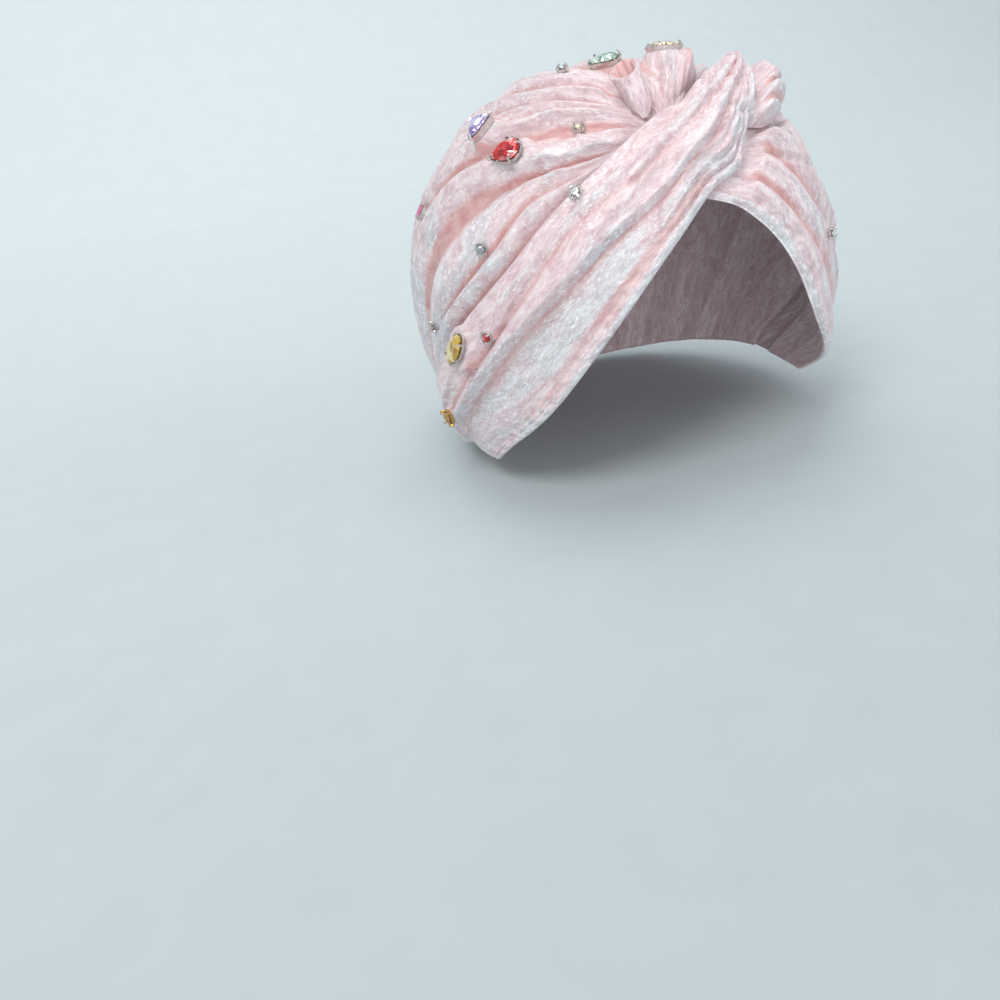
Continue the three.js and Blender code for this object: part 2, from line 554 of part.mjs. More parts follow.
// Bands: folded ribbons wound over the crown
function bandGrids(stations, foldStations, folds, columns, floor, cover) {
  const places = stations.map((row, i) => i);
  const end = stations.length - 1;
  const outer = [];
  const inner = [];
  const edge = (key, axis, place) => along(places, stations.map((row) => row[key][axis]), place);
  foldRows(folds).forEach(({ line, next, share }) => {
    const outerRow = [];
    const innerRow = [];
    for (let j = 0; j < columns; j += 1) {
      const place = end * j / (columns - 1);
      const face = pointing(edge('face', 0, place), edge('face', 1, place));
      const rear = pointing(edge('rear', 0, place), edge('rear', 1, place));
      const from = along(foldStations, line.across, place);
      const to = along(foldStations, next.across, place);
      const direction = face.lerp(rear, lerp(from, to, share)).normalize();
      const low = along(foldStations, line.height, place);
      const high = along(foldStations, next.height, place);
      const ends = ease(-0.2, 0.8, place) * ease(-0.2, 0.8, end - place);
      const height = Math.max(0, foldHeight(low, high, share)) * cover(direction) * lerp(0.5, 1, ends);
      const base = floor(direction);
      outerRow.push(direction.clone().multiplyScalar(base + CLOTH + height));
      innerRow.push(direction.clone().multiplyScalar(base + FOLD_HOLLOW * height));
    }
    outer.push(outerRow);
    inner.push(innerRow);
  });
  return [outer, inner];
}

function firstLayer(direction) {
  return formRadius(direction) + lerp(-CLOTH, LAYER_GAP, overCrown(direction));
}

function leftCover(direction) {
  return ease(1.6, 5.5, outsideBy(RIGHT_OUTLINE, direction)) * ease(1.08, 1.3, knotReach(direction));
}

function rightFloor(direction) {
  const onLeft = 1 - ease(1, 6, outsideBy(LEFT_OUTLINE, direction));
  const plain = firstLayer(direction) + LAYER * onLeft;
  const mound = knotMound(direction) * (1 - KNOT_TUCK);
  const onKnot = formRadius(direction) + KNOT_SEAT + KNOT_RIM + mound + LAYER_GAP + KNOT_SPARE;
  return lerp(Math.max(plain, onKnot), plain, ease(1.1, 1.45, knotReach(direction)));
}

// Rings joined one after another and closed with a middle point at each end
function ringsGeometry(rings, first, last) {
  const points = [];
  rings.forEach((ring) => ring.forEach((p) => points.push(p.x, p.y, p.z)));
  points.push(first.x, first.y, first.z, last.x, last.y, last.z);
  const count = rings[0].length;
  const ends = rings.length * count;
  const faces = [];
  for (let k = 0; k < count; k += 1) {
    const n = (k + 1) % count;
    for (let i = 0; i < rings.length - 1; i += 1) {
      const [low, high] = [i * count, (i + 1) * count];
      faces.push(low + k, low + n, high + k, high + k, low + n, high + n);
    }
    const top = (rings.length - 1) * count;
    faces.push(ends, n, k, ends + 1, top + k, top + n);
  }
  return outward(points, faces);
}

const wasm = await Module();
wasm.setup();

function solidOf(geometry) {
  const vertProperties = new Float32Array(geometry.attributes.position.array);
  const triVerts = new Uint32Array(geometry.index.array);
  return new wasm.Manifold(new wasm.Mesh({ numProp: 3, vertProperties, triVerts }));
}

function geometryOf(solid) {
  const mesh = solid.getMesh();
  const geometry = new THREE.BufferGeometry();
  geometry.setAttribute('position', new THREE.Float32BufferAttribute(mesh.vertProperties, 3));
  geometry.setIndex([...mesh.triVerts]);
  geometry.computeVertexNormals();
  return geometry;
}

// Rolled pleat: round rings along a path that lies on the crown
function pleatRings(rows, thinner, past) {
  const centres = rows.map(({ at, lift }) => {
    const out = pointing(...at);
    return out.multiplyScalar(formRadius(out) + lift);
  });
  return rows.map(({ radius, slant }, i) => {
    const ahead = centres[Math.min(i + 1, rows.length - 1)];
    const behind = centres[Math.max(i - 1, 0)];
    const heading = ahead.clone().sub(behind).normalize();
    const side = new THREE.Vector3().crossVectors(heading, centres[i]).normalize();
    const up = new THREE.Vector3().crossVectors(side, heading);
    const middle = centres[i].clone().addScaledVector(heading, i === rows.length - 1 ? past : 0);
    const ring = [];
    for (let k = 0; k < PLEAT_SIDES; k += 1) {
      const angle = 2 * Math.PI * k / PLEAT_SIDES;
      const point = middle.clone().addScaledVector(side, (radius - thinner) * Math.cos(angle));
      point.addScaledVector(up, (radius - thinner) * Math.sin(angle));
      ring.push(point.addScaledVector(heading, -slant * radius * (1 + Math.sin(angle))));
    }
    return { ring, middle };
  });
}

function pleatSolid(rows, thinner, past) {
  const rings = pleatRings(rows, thinner, past);
  const last = rings[rings.length - 1].middle;
  return solidOf(ringsGeometry(rings.map(({ ring }) => ring), rings[0].middle, last));
}

const crownSheet = solidOf(shellGeometry(...crownGrids()));
const tunnelRoll = pleatSolid(TUNNEL, 0, 0);
const tunnelBore = pleatSolid(TUNNEL.slice(1), TUNNEL_WALL, 2);
const puffRoll = pleatSolid(PUFF, 0, 0);
const crownSolid = crownSheet.add(tunnelRoll).add(puffRoll).subtract(tunnelBore);
addMesh('crown_cap', geometryOf(crownSolid), VELVET);
const leftGrids = bandGrids(LEFT_BAND, LEFT_FOLD_STATIONS, LEFT_FOLDS, LEFT_COLUMNS, firstLayer, leftCover);
addMesh('left_band', shellGeometry(...leftGrids), VELVET);
const wholly = () => 1;
const rightGrids = bandGrids(RIGHT_BAND, RIGHT_FOLD_STATIONS, RIGHT_FOLDS, RIGHT_COLUMNS, rightFloor, wholly);
addMesh('right_band', shellGeometry(...rightGrids), VELVET);
addMesh('twist_knot', shellGeometry(...knotGrids()), VELVET);

// Outline of a cut stone in shares of its half length and half width
function cutPoint(cut, share) {
  const angle = 2 * Math.PI * share;
  const c = Math.cos(angle);
  const s = Math.sin(angle);
  if (cut === 'navette') return [c, s * Math.abs(s) ** 0.4];
  if (cut === 'pear') return [c, 1.12 * s * Math.abs(Math.sin(angle / 2)) ** 0.8];
  if (cut === 'trillion') {
    const reach = 0.76 + 0.2 * Math.cos(3 * angle) + 0.04 * Math.cos(6 * angle);
    return [c * reach, s * reach];
  }
  if (cut === 'step') {
    const place = share * STEP_CORNERS.length;
    const corner = Math.floor(place) % STEP_CORNERS.length;
    const [ax, ay] = STEP_CORNERS[corner];
    const [bx, by] = STEP_CORNERS[(corner + 1) % STEP_CORNERS.length];
    return [lerp(ax, bx, place - Math.floor(place)), lerp(ay, by, place - Math.floor(place))];
  }
  return [c, s];
}

function stonePoint(stone, index, grow, scale, z) {
  const [x, y] = cutPoint(stone.cut, index / CUTS[stone.cut].sides);
  return new THREE.Vector3(x * scale * (stone.length / 2 + grow), y * scale * (stone.width / 2 + grow), z);
}

function stoneRing(stone, shift, grow, scale, z) {
  return Array.from({ length: CUTS[stone.cut].sides }, (_, k) => stonePoint(stone, k + shift, grow, scale, z));
}

function stoneLevels(stone) {
  const culet = CUP_FLOOR + GEM_GAP;
  const girdle = culet + PAVILION_SHARE * stone.width;
  return { culet, girdle, table: girdle + GIRDLE + CROWN_SHARE * stone.width };
}

function gemGeometry(stone) {
  const { culet, girdle, table } = stoneLevels(stone);
  const { half } = CUTS[stone.cut];
  const top = girdle + GIRDLE;
  const rings = [
    stoneRing(stone, 0, 0, 1, girdle),
    stoneRing(stone, 0, 0, 1, top),
    stoneRing(stone, half, 0, 0.82, lerp(top, table, 0.55)),
    stoneRing(stone, 0, 0, TABLE_SHARE, table),
  ];
  return ringsGeometry(rings, new THREE.Vector3(0, 0, culet), new THREE.Vector3(0, 0, table));
}

// Metal cup with a claw over the stone at each prong place
function settingGeometry(stone) {
  const { girdle, table } = stoneLevels(stone);
  const rim = girdle - 0.2;
  const outside = GEM_GAP + CUP_WALL;
  const rings = [
    stoneRing(stone, 0, outside, CUP_FOOT, 0),
    stoneRing(stone, 0, outside, 1, rim),
    stoneRing(stone, 0, GEM_GAP, 1, rim),
    stoneRing(stone, 0, GEM_GAP, CUP_FOOT, CUP_FLOOR),
  ];
  let solid = solidOf(ringsGeometry(rings, new THREE.Vector3(), new THREE.Vector3(0, 0, CUP_FLOOR)));
  const half = Math.max(0.35, PRONG_SHARE * stone.width / 2);
  const shoulder = girdle + GIRDLE;
  const tip = shoulder + 0.3 * (table - girdle) + 0.4;
  const over = -0.08 * stone.width / 2;
  const claw = new THREE.Shape([
    [GEM_GAP + 0.05, rim - 0.5],
    [outside + 0.3, rim - 0.5],
    [outside + 0.3, shoulder],
    [over + 0.3, tip + 0.35],
    [over, tip],
    [GEM_GAP + 0.05, shoulder],
  ].map(([reach, z]) => new THREE.Vector2(reach, z)));
  CUTS[stone.cut].prongs.forEach((index) => {
    const edge = stonePoint(stone, index, 0, 1, 0);
    const before = stonePoint(stone, index - 0.5, 0, 1, 0);
    const edgeway = stonePoint(stone, index + 0.5, 0, 1, 0).sub(before).normalize();
    const out = new THREE.Vector3(edgeway.y, -edgeway.x, 0);
    const upright = new THREE.Vector3(0, 0, 1);
    const place = new THREE.Matrix4().makeBasis(out, upright, edgeway.clone().negate());
    place.setPosition(edge.addScaledVector(edgeway, half));
    const body = new THREE.ExtrudeGeometry(claw, { depth: 2 * half, bevelEnabled: false }).applyMatrix4(place);
    body.deleteAttribute('normal');
    body.deleteAttribute('uv');
    solid = solid.add(solidOf(mergeVertices(body)));
  });
  return geometryOf(solid);
}

// Seats a stone on the cloth beneath it
group.updateMatrixWorld(true);
const cloths = [...group.children];
const caster = new THREE.Raycaster();

function clothBeneath(from, inward) {
  caster.set(from.clone().addScaledVector(inward, -40), inward);
  const [hit] = caster.intersectObjects(cloths, false);
  return hit ? hit.point : from.clone();
}

function seatOf(stone) {
  const out = pointing(...stone.at);
  const inward = out.clone().negate();
  const right = new THREE.Vector3(0, 0, 1).cross(out).normalize();
  const up = new THREE.Vector3().crossVectors(out, right);
  const middle = clothBeneath(out.clone().multiplyScalar(formRadius(out)), inward);
  const reach = Math.max(stone.length, stone.width) / 2 + GEM_GAP + CUP_WALL;
  const samples = [middle];
  for (let k = 0; k < 96; k += 1) {
    const angle = 2 * Math.PI * k / 24;
    const size = reach * (1 - Math.floor(k / 24) / 4);
    const from = middle.clone().addScaledVector(right, size * Math.cos(angle))
      .addScaledVector(up, size * Math.sin(angle));
    samples.push(clothBeneath(from, inward));
  }
  const normal = new THREE.Vector3();
  for (let k = 1; k <= 24; k += 1) {
    const a = samples[k].clone().sub(middle);
    const b = samples[k % 24 + 1].clone().sub(middle);
    normal.add(a.cross(b));
  }
  normal.normalize();
  const rise = Math.max(...samples.map((p) => p.clone().sub(middle).dot(normal)));
  const across = new THREE.Vector3(0, 0, 1).cross(normal).normalize();
  const upward = new THREE.Vector3().crossVectors(normal, across);
  const angle = stone.turn * DEGREE;
  const length = across.clone().multiplyScalar(Math.cos(angle)).addScaledVector(upward, Math.sin(angle));
  const width = new THREE.Vector3().crossVectors(normal, length);
  const turned = new THREE.Matrix4().makeBasis(length, width, normal);
  return { place: middle.addScaledVector(normal, rise + SEAT_GAP), turned };
}

STONES.forEach((stone) => {
  const { place, turned } = seatOf(stone);
  const look = { color: stone.gem, roughness: 0.08, metalness: 0 };
  const gem = addMesh(`${stone.name}_gem`, gemGeometry(stone), new THREE.MeshStandardMaterial(look));
  const setting = addMesh(`${stone.name}_setting`, settingGeometry(stone), METAL);
  [gem, setting].forEach((mesh) => {
    mesh.position.copy(place);
    mesh.quaternion.setFromRotationMatrix(turned);
  });
});

export default group;
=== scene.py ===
import json
import math

import bpy
import numpy as np
from mathutils import Matrix, Vector


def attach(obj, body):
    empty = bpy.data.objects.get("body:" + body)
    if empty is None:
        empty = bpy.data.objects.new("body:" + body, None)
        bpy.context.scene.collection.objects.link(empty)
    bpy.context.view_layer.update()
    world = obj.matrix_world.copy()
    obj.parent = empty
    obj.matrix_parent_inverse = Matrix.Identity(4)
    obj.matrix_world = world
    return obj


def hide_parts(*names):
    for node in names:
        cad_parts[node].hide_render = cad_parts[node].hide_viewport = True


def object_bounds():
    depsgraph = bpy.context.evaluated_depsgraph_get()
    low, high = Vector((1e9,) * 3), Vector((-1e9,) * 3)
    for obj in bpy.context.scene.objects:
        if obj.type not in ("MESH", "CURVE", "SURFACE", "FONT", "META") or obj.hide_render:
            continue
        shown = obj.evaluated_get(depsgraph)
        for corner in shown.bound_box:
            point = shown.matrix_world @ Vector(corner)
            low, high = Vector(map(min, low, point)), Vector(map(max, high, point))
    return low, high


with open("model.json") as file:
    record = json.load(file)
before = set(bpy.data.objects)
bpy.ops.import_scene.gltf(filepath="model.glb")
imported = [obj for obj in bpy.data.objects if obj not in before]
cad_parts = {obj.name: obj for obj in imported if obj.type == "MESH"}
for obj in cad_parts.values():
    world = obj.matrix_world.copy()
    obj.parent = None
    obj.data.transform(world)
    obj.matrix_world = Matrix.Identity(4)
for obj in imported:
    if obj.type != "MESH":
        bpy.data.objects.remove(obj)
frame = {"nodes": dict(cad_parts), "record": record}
cad_low, cad_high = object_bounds()

# Pale crushed velvet turban headwrap with sewn-on cut stones.
# Tables are in millimetres and degrees, as in the part's source; meshes are made in metres.
MM = 0.001

# Head form: the smooth level of the crown cloth's outer face, before its folds
HALF_WIDTH = 85
FRONT_DEPTH = 89
BACK_DEPTH = 107
CROWN_HEIGHT = 98
LOWER_DEPTH = 150
FORM_POWER = 2.2
BROW_NARROWING = 0.12
NAPE_NARROWING = 0.22
LOWER_NARROWING = 0.25

# Cloth: the solids' thickness, and the thinner sheets that are seen
SOLID_CLOTH = 2.2
CLOTH = 1.9
LAYER_GAP = 0.9
LAYER = SOLID_CLOTH + LAYER_GAP
FOLD_HOLLOW = 0.7

# Crown folds
KNOT_GATHER = np.array((-0.02, -0.58, 0.81)) / np.linalg.norm((-0.02, -0.58, 0.81))
NAPE_GATHER = np.array((0, 0.35, -1)) / np.linalg.norm((0, 0.35, -1))
CROWN_START = -3.9
HEM_BEARINGS = [-180, -155, -130, -105, -85, -70, 70, 85, 105, 130, 155, 180]
HEM_LEVELS = [-50, -47, -42, -39, -41, -42, -42, -41, -39, -42, -47, -50]
TURN_STATIONS = [-3.2, -2.2, -1.6, -1.2, -0.8, -0.4, 0, 0.4]
HEIGHT_STATIONS = [-2.6, -1.2, -0.4, 0, 0.5]
# Each crown line: name, turn at each station, height at each station
CROWN_LINES = [
    ("right edge", [60, 68, 66, 68, 68, 75, 86, 94], [0, 0, 0, 0, 0]),
    ("right tuck", [79, 78, 76, 79, 79, 85, 95, 102], [0, 0, 0, 0, 0]),
    ("side lip low", [83, 81, 81, 86, 86, 92, 101, 107], [0, 3.5, 5, 1, -0.5]),
    ("side dip low", [86, 83, 84.5, 90, 89.5, 94.5, 103, 109], [0, 1, 0, -2.5, -1]),
    ("side lip", [89, 85, 88, 96, 94, 99, 107, 111.5], [0, 3.5, 4.5, -1, -0.5]),
    ("deep dip", [92, 87, 92, 100, 107.5, 111, 114, 116], [0, -0.5, -0.5, -1, 0]),
    ("deep lip", [97, 91, 95.5, 107, 116, 119, 120, 120], [0.6, 6, 7, 4, 2]),
    ("upper dip", [108, 112, 115, 118, 124, 127, 127, 126], [0, 0, 1, 1, 0.5]),
    ("upper lip", [113, 121, 122, 125, 129.5, 132, 132, 130], [0.6, 6, 5, 4, 2]),
    ("soft dip", [119, 127, 128, 130, 135, 138, 138, 136], [0.3, 2.5, 2.5, 2, 1]),
    ("soft lip", [122, 132, 132, 134, 139, 142, 142, 140], [0.5, 3.5, 3.5, 3, 1.5]),
    ("high dip", [126, 138, 138.5, 138.5, 145, 148, 148, 146], [0, 0.5, 1.5, 1, 0.5]),
    ("high lip", [131, 147, 142.5, 142, 149, 152, 153, 151], [0.5, 4.5, 4, 3.6, 2]),
    ("top dip", [135, 151, 150, 149.5, 156, 159, 160, 159], [0, 0, 1, 1, 0.5]),
    ("top lip", [141, 158, 157, 155, 162, 165, 166, 165], [0.5, 5, 4, 3.6, 2]),
    ("back dip right", [152, 172, 172, 172, 174, 175, 176, 175], [0, 1, 1, 1, 0.5]),
    ("back lip right", [160, 181, 180, 180, 182, 183, 183, 182], [0.5, 4.5, 4.5, 4, 2]),
    ("back dip", [170, 193, 191, 190, 191, 192, 192, 191], [0, 0.8, 1, 1, 0.5]),
    ("back lip left", [178, 201, 200, 199, 199, 200, 200, 199], [0.5, 4, 4.5, 4, 2]),
    ("back dip left", [192, 212, 211, 209, 208, 208, 208, 207], [0, 0.8, 0.8, 0.8, 0.5]),
    ("left lip high", [202, 221, 220, 218, 216, 216, 215, 214], [0.5, 4.5, 5, 4.5, 2]),
    ("left dip high", [216, 232, 230, 227, 225, 224, 223, 221], [0, 0.5, 0.6, 0.6, 0.4]),
    ("left lip", [225, 238, 238, 236, 234, 232, 230, 228], [0.5, 5, 5.5, 4.5, 2]),
    ("left dip", [240, 247, 245, 243, 242, 240, 237, 234], [0, 0, 0.3, 0.3, 0.3]),
    ("left lip low", [250, 253, 252, 253, 252, 249, 244, 240], [0.3, 4.5, 5, 4, 2]),
    ("left tuck", [266, 261, 262, 266, 266, 263, 257, 250], [0, 0, 0, 0, 0]),
    ("left edge", [290, 276, 272, 278, 278, 275, 269, 261], [0, 0, 0, 0, 0]),
]

# Bands: name, bearing and elevation of the face edge, of the rear edge
RIGHT_BAND = [
    ("ear tip", [74, -27], [112, -24]),
    ("ear", [64, -20], [101, -10]),
    ("cheek", [54, -13], [88, 0]),
    ("temple low", [45, -5], [77, 9]),
    ("temple", [36, 5], [66, 18]),
    ("temple high", [28, 14], [55, 27]),
    ("brow side", [20, 22.5], [44, 37]),
    ("brow", [11, 30.5], [32, 45]),
    ("peak", [0, 38.3], [20, 52]),
    ("crossing", [-10, 41.3], [9, 56.5]),
    ("rise", [-14.5, 44.5], [-3, 59]),
    ("ridge front", [-18, 48.4], [-11, 59.6]),
    ("ridge", [-24.5, 52.6], [-19.5, 60.6]),
    ("ridge back", [-31, 56], [-28.5, 62]),
    ("over", [-37, 59], [-36.5, 63.2]),
    ("tuck", [-43.5, 61.2], [-44.5, 64.4]),
]
LEFT_BAND = [
    ("start under the crossing", [6, 39], [-18, 59]),
    ("brow", [-5.5, 35.5], [-38, 53]),
    ("brow side", [-12, 31], [-49, 44.5]),
    ("temple high", [-18, 24.5], [-59, 34]),
    ("temple", [-23, 16.5], [-68, 25]),
    ("temple low", [-27.5, 8], [-77, 16]),
    ("cheek high", [-33, 0], [-86, 7]),
    ("cheek", [-42, -8], [-95, -2]),
    ("ear", [-55, -17], [-104, -11]),
    ("ear tip", [-74, -27], [-112, -24]),
]
# Band folds: name, share across at each station, height at each station
RIGHT_FOLD_STATIONS = [0, 2, 4, 6, 8, 10, 12, 15]
RIGHT_FOLDS = [
    ("hem", [0, 0, 0, 0, 0, 0, 0, 0], [0, 0, 0, 0, 0, 0, 0, 0]),
    ("hem roll", [0.04, 0.04, 0.04, 0.05, 0.06, 0.07, 0.08, 0.08], [1, 1.2, 1.2, 1.2, 1.4, 1.4, 1.2, 0.5]),
    ("hem dip", [0.1, 0.1, 0.12, 0.12, 0.12, 0.14, 0.12, 0.12], [0.8, 0.5, 0.4, 0.4, 0.8, 1, 0.8, 0.4]),
    ("facet", [0.3, 0.34, 0.34, 0.3, 0.22, 0.26, 0.24, 0.22], [1.4, 1.8, 2, 2, 2, 1.8, 1.2, 0.5]),
    ("shade", [0.45, 0.51, 0.51, 0.44, 0.33, 0.43, 0.4, 0.34], [1, 1.4, 1.6, 1.8, 2, 1.8, 1.2, 0.5]),
    ("long crest", [0.51, 0.57, 0.57, 0.5, 0.39, 0.5, 0.48, 0.42], [2.4, 4.4, 5.2, 5.6, 5.4, 4.6, 3, 0.8]),
    ("middle dip", [0.58, 0.63, 0.67, 0.72, 0.59, 0.63, 0.6, 0.56], [0.6, 2, 2.6, 3.4, 3.6, 2.8, 1, 0.3]),
    ("rear crest", [0.7, 0.76, 0.8, 0.81, 0.71, 0.73, 0.7, 0.66], [1, 3.8, 4.2, 4.4, 4.6, 3.8, 2.2, 0.6]),
    ("rear dip", [0.82, 0.87, 0.89, 0.88, 0.83, 0.84, 0.82, 0.8], [0.4, 2.2, 2.6, 3, 3, 2.6, 1.2, 0.4]),
    ("rear roll", [0.92, 0.94, 0.95, 0.94, 0.93, 0.93, 0.92, 0.92], [0.5, 1.8, 2.2, 3, 3.4, 2.8, 1.4, 0.4]),
    ("rear edge", [1, 1, 1, 1, 1, 1, 1, 1], [0, 0, 0, 0, 0, 0, 0, 0]),
]
LEFT_FOLD_STATIONS = [0, 1.5, 3, 5, 7, 9]
LEFT_FOLDS = [
    ("hem", [0, 0, 0, 0, 0, 0], [0, 0, 0, 0, 0, 0]),
    ("hem roll", [0.07, 0.06, 0.05, 0.05, 0.05, 0.05], [1.2, 2, 2, 1.4, 1, 0.8]),
    ("hem facet", [0.17, 0.15, 0.14, 0.16, 0.18, 0.18], [2.2, 4.5, 4, 2.6, 1.6, 1]),
    ("low dip", [0.26, 0.24, 0.22, 0.26, 0.3, 0.3], [1, 2, 1.6, 1, 0.4, 0.4]),
    ("low crest", [0.38, 0.37, 0.36, 0.4, 0.44, 0.44], [3, 6, 5, 3.6, 2.4, 1.2]),
    ("middle dip", [0.5, 0.5, 0.5, 0.54, 0.57, 0.57], [1, 3, 1.4, 0.8, 0.4, 0.3]),
    ("middle crest", [0.62, 0.62, 0.63, 0.67, 0.7, 0.7], [3, 6, 2.8, 2.4, 1.8, 0.9]),
    ("high dip", [0.75, 0.75, 0.77, 0.8, 0.82, 0.82], [1, 4, 0.8, 0.6, 0.5, 0.3]),
    ("high roll", [0.88, 0.88, 0.9, 0.92, 0.93, 0.93], [2.4, 5.4, 1.8, 1.4, 1, 0.5]),
    ("rear edge", [1, 1, 1, 1, 1, 1], [0, 0, 0, 0, 0, 0]),
]
# Knot: the roll of cloth beside the crossing
KNOT_CENTRE = (-31.5, 56)
KNOT_HALF_ACROSS = 20
KNOT_HALF_UP = 14.5
KNOT_HEIGHT = 13
KNOT_TUCK = 0.6
KNOT_RIM = 1.4
KNOT_SPARE = 0.9
KNOT_REACH = 0.99
# Grooves of the knot: name, place up, half width, depth
KNOT_GROOVES = [
    ("strip groove", -5, 1.2, 3.2),
    ("low groove", -10.5, 1.3, 2.4),
    ("high groove", 7.5, 0.9, 1.4),
]
# Rolled pleats: name, bearing, elevation, radius, lift; the tunnel's last column is the slant of its ring
TUNNEL = [
    ("foot", 12, 57.6, 2.2, 1, 0),
    ("waist", 12.5, 60.4, 3.6, 3, 0.1),
    ("throat", 14, 63.6, 4.7, 6, 0.4),
    ("mouth", 16.5, 67, 5.6, 10, 0.95),
]
TUNNEL_WALL = 2
TUNNEL_FINENESS = (64, 60)
# Angle round the tunnel's ring at which its mouth is cut back the most
MOUTH_FACING = math.radians(115)
PUFF = [
    ("foot", -6, 64, 2.6, 0),
    ("middle", -12, 66.3, 4.6, 2),
    ("shoulder", -20, 68.5, 5.8, 4),
    ("head", -30, 70.5, 5.6, 5),
    ("crest", -40, 72, 4, 4.6),
    ("tip", -47, 72.8, 1.6, 4),
]

# Photo camera: turn, tilt and roll in degrees, focal length in pixels, distance, and the
# pixels of the origin and of the optical axis in the 1000 pixel frame
CAMERA_TURN = -22.0
CAMERA_TILT = 27.5
CAMERA_ROLL = -7.5
FOCAL_PIXELS = 930.0
CAMERA_DISTANCE = 410.0
ORIGIN_PIXEL = (628.0, 313.0)
AXIS_PIXEL = (590.0, 500.0)
FRAME_PIXELS = 1000.0
SENSOR = 36.0


def lerp(a, b, share):
    return a + (b - a) * share


def ease(low, high, value):
    share = np.clip((value - low) / (high - low), 0, 1)
    return share * share * (3 - 2 * share)


def along(stations, values, place):
    """Smooth curve through a table of values."""
    x, v = np.asarray(stations, float), np.asarray(values, float)
    p = np.clip(place, x[0], x[-1])
    i = np.clip(np.searchsorted(x, p, side="right") - 1, 0, len(x) - 2)
    span = x[i + 1] - x[i]
    t = (p - x[i]) / span
    lo, hi = np.maximum(np.arange(len(x)) - 1, 0), np.minimum(np.arange(len(x)) + 1, len(x) - 1)
    slope = (v[hi] - v[lo]) / (x[hi] - x[lo])
    t2, t3 = t * t, t * t * t
    start = (2 * t3 - 3 * t2 + 1) * v[i] + (t3 - 2 * t2 + t) * span * slope[i]
    finish = (3 * t2 - 2 * t3) * v[i + 1] + (t3 - t2) * span * slope[i + 1]
    return start + finish


def unit(v):
    return v / np.linalg.norm(v, axis=-1, keepdims=True)


def pointing(bearing, elevation):
    """Unit direction of a bearing and an elevation."""
    b, e = np.radians(bearing), np.radians(elevation)
    return np.stack((-np.sin(b) * np.cos(e), -np.cos(b) * np.cos(e), np.sin(e) * np.ones_like(b)), -1)


def bearing_of(d):
    """Degrees round from the front, positive to the wearer's right."""
    return np.degrees(np.arctan2(-d[..., 0], -d[..., 1]))


def form_radius(d):
    """Distance from the origin to the smooth head form."""
    front, below = np.maximum(0, -d[..., 1]), np.maximum(0, -d[..., 2])
    lower = 1 - LOWER_NARROWING * below**2
    wide = HALF_WIDTH * (1 - BROW_NARROWING * front**2) * lower
    deep = np.where(d[..., 1] < 0, FRONT_DEPTH, BACK_DEPTH * (1 - NAPE_NARROWING * below**2)) * lower
    tall = np.where(d[..., 2] > 0, CROWN_HEIGHT, LOWER_DEPTH)
    total = sum(np.abs(d[..., k] / size) ** FORM_POWER for k, size in enumerate((wide, deep, tall)))
    return total ** (-1 / FORM_POWER)


DOWN = np.array((0, -0.2, -1))
FAN_DOWN = unit(DOWN - DOWN.dot(KNOT_GATHER) * KNOT_GATHER)
FAN_SIDE = np.cross(FAN_DOWN, KNOT_GATHER)
NAPE_REACH = math.tan(math.acos(NAPE_GATHER.dot(KNOT_GATHER)) / 2)
NAPE_TURN = math.atan2(NAPE_GATHER.dot(FAN_SIDE), NAPE_GATHER.dot(FAN_DOWN))
NAPE_POINT = NAPE_REACH * complex(math.cos(NAPE_TURN), math.sin(NAPE_TURN))


def fan_direction(place, turn):
    """Direction of a place along a fold line of the crown, from the knot gather to the nape gather."""
    z = np.exp(place) * np.exp(1j * np.radians(turn))
    w = z / (1 + z / NAPE_POINT)
    tilt, heading = 2 * np.arctan(np.abs(w)), np.angle(w)
    return (
        np.cos(tilt)[..., None] * KNOT_GATHER
        + (np.sin(tilt) * np.cos(heading))[..., None] * FAN_DOWN
        + (np.sin(tilt) * np.sin(heading))[..., None] * FAN_SIDE
    )


def fan_place(d):
    """Place and turn of a direction, the inverse of fan_direction."""
    reach = np.tan(np.arccos(np.clip(d @ KNOT_GATHER, -1, 1)) / 2)
    w = reach * np.exp(1j * np.arctan2(d @ FAN_SIDE, d @ FAN_DOWN))
    z = w / (1 - w / NAPE_POINT)
    turn = np.degrees(np.angle(z))
    return np.log(np.maximum(np.abs(z), 1e-9)), np.where(turn < -20, turn + 360, turn)


def mapped(d):
    """Flat map of directions seen from above, in degrees from the crown."""
    fall = 90 - np.degrees(np.arcsin(np.clip(d[..., 2], -1, 1)))
    flat = np.maximum(np.hypot(d[..., 0], d[..., 1]), 1e-9)
    return np.stack((fall * d[..., 0] / flat, fall * d[..., 1] / flat), -1)


def outside_by(outline, d):
    """Degrees outside a closed outline on the map, negative inside."""
    p = mapped(d)
    nearest = np.full(p.shape[:-1], np.inf)
    inside = np.zeros(p.shape[:-1], bool)
    for a, b in zip(outline, np.roll(outline, -1, axis=0)):
        side = b - a
        share = np.clip(((p - a) @ side) / side.dot(side), 0, 1)
        nearest = np.minimum(nearest, np.linalg.norm(p - a - share[..., None] * side, axis=-1))
        crossing = (a[1] > p[..., 1]) != (b[1] > p[..., 1])
        rise = side[1] if abs(side[1]) > 1e-9 else 1e-9
        inside ^= crossing & (p[..., 0] < a[0] + (p[..., 1] - a[1]) * side[0] / rise)
    return np.where(inside, -nearest, nearest)


def band_outline(stations):
    face = mapped(pointing(*np.array([row[1] for row in stations], float).T))
    rear = mapped(pointing(*np.array([row[2] for row in stations], float).T))
    return np.concatenate((face, rear[::-1]))


RIGHT_OUTLINE = band_outline(RIGHT_BAND)
LEFT_OUTLINE = band_outline(LEFT_BAND)

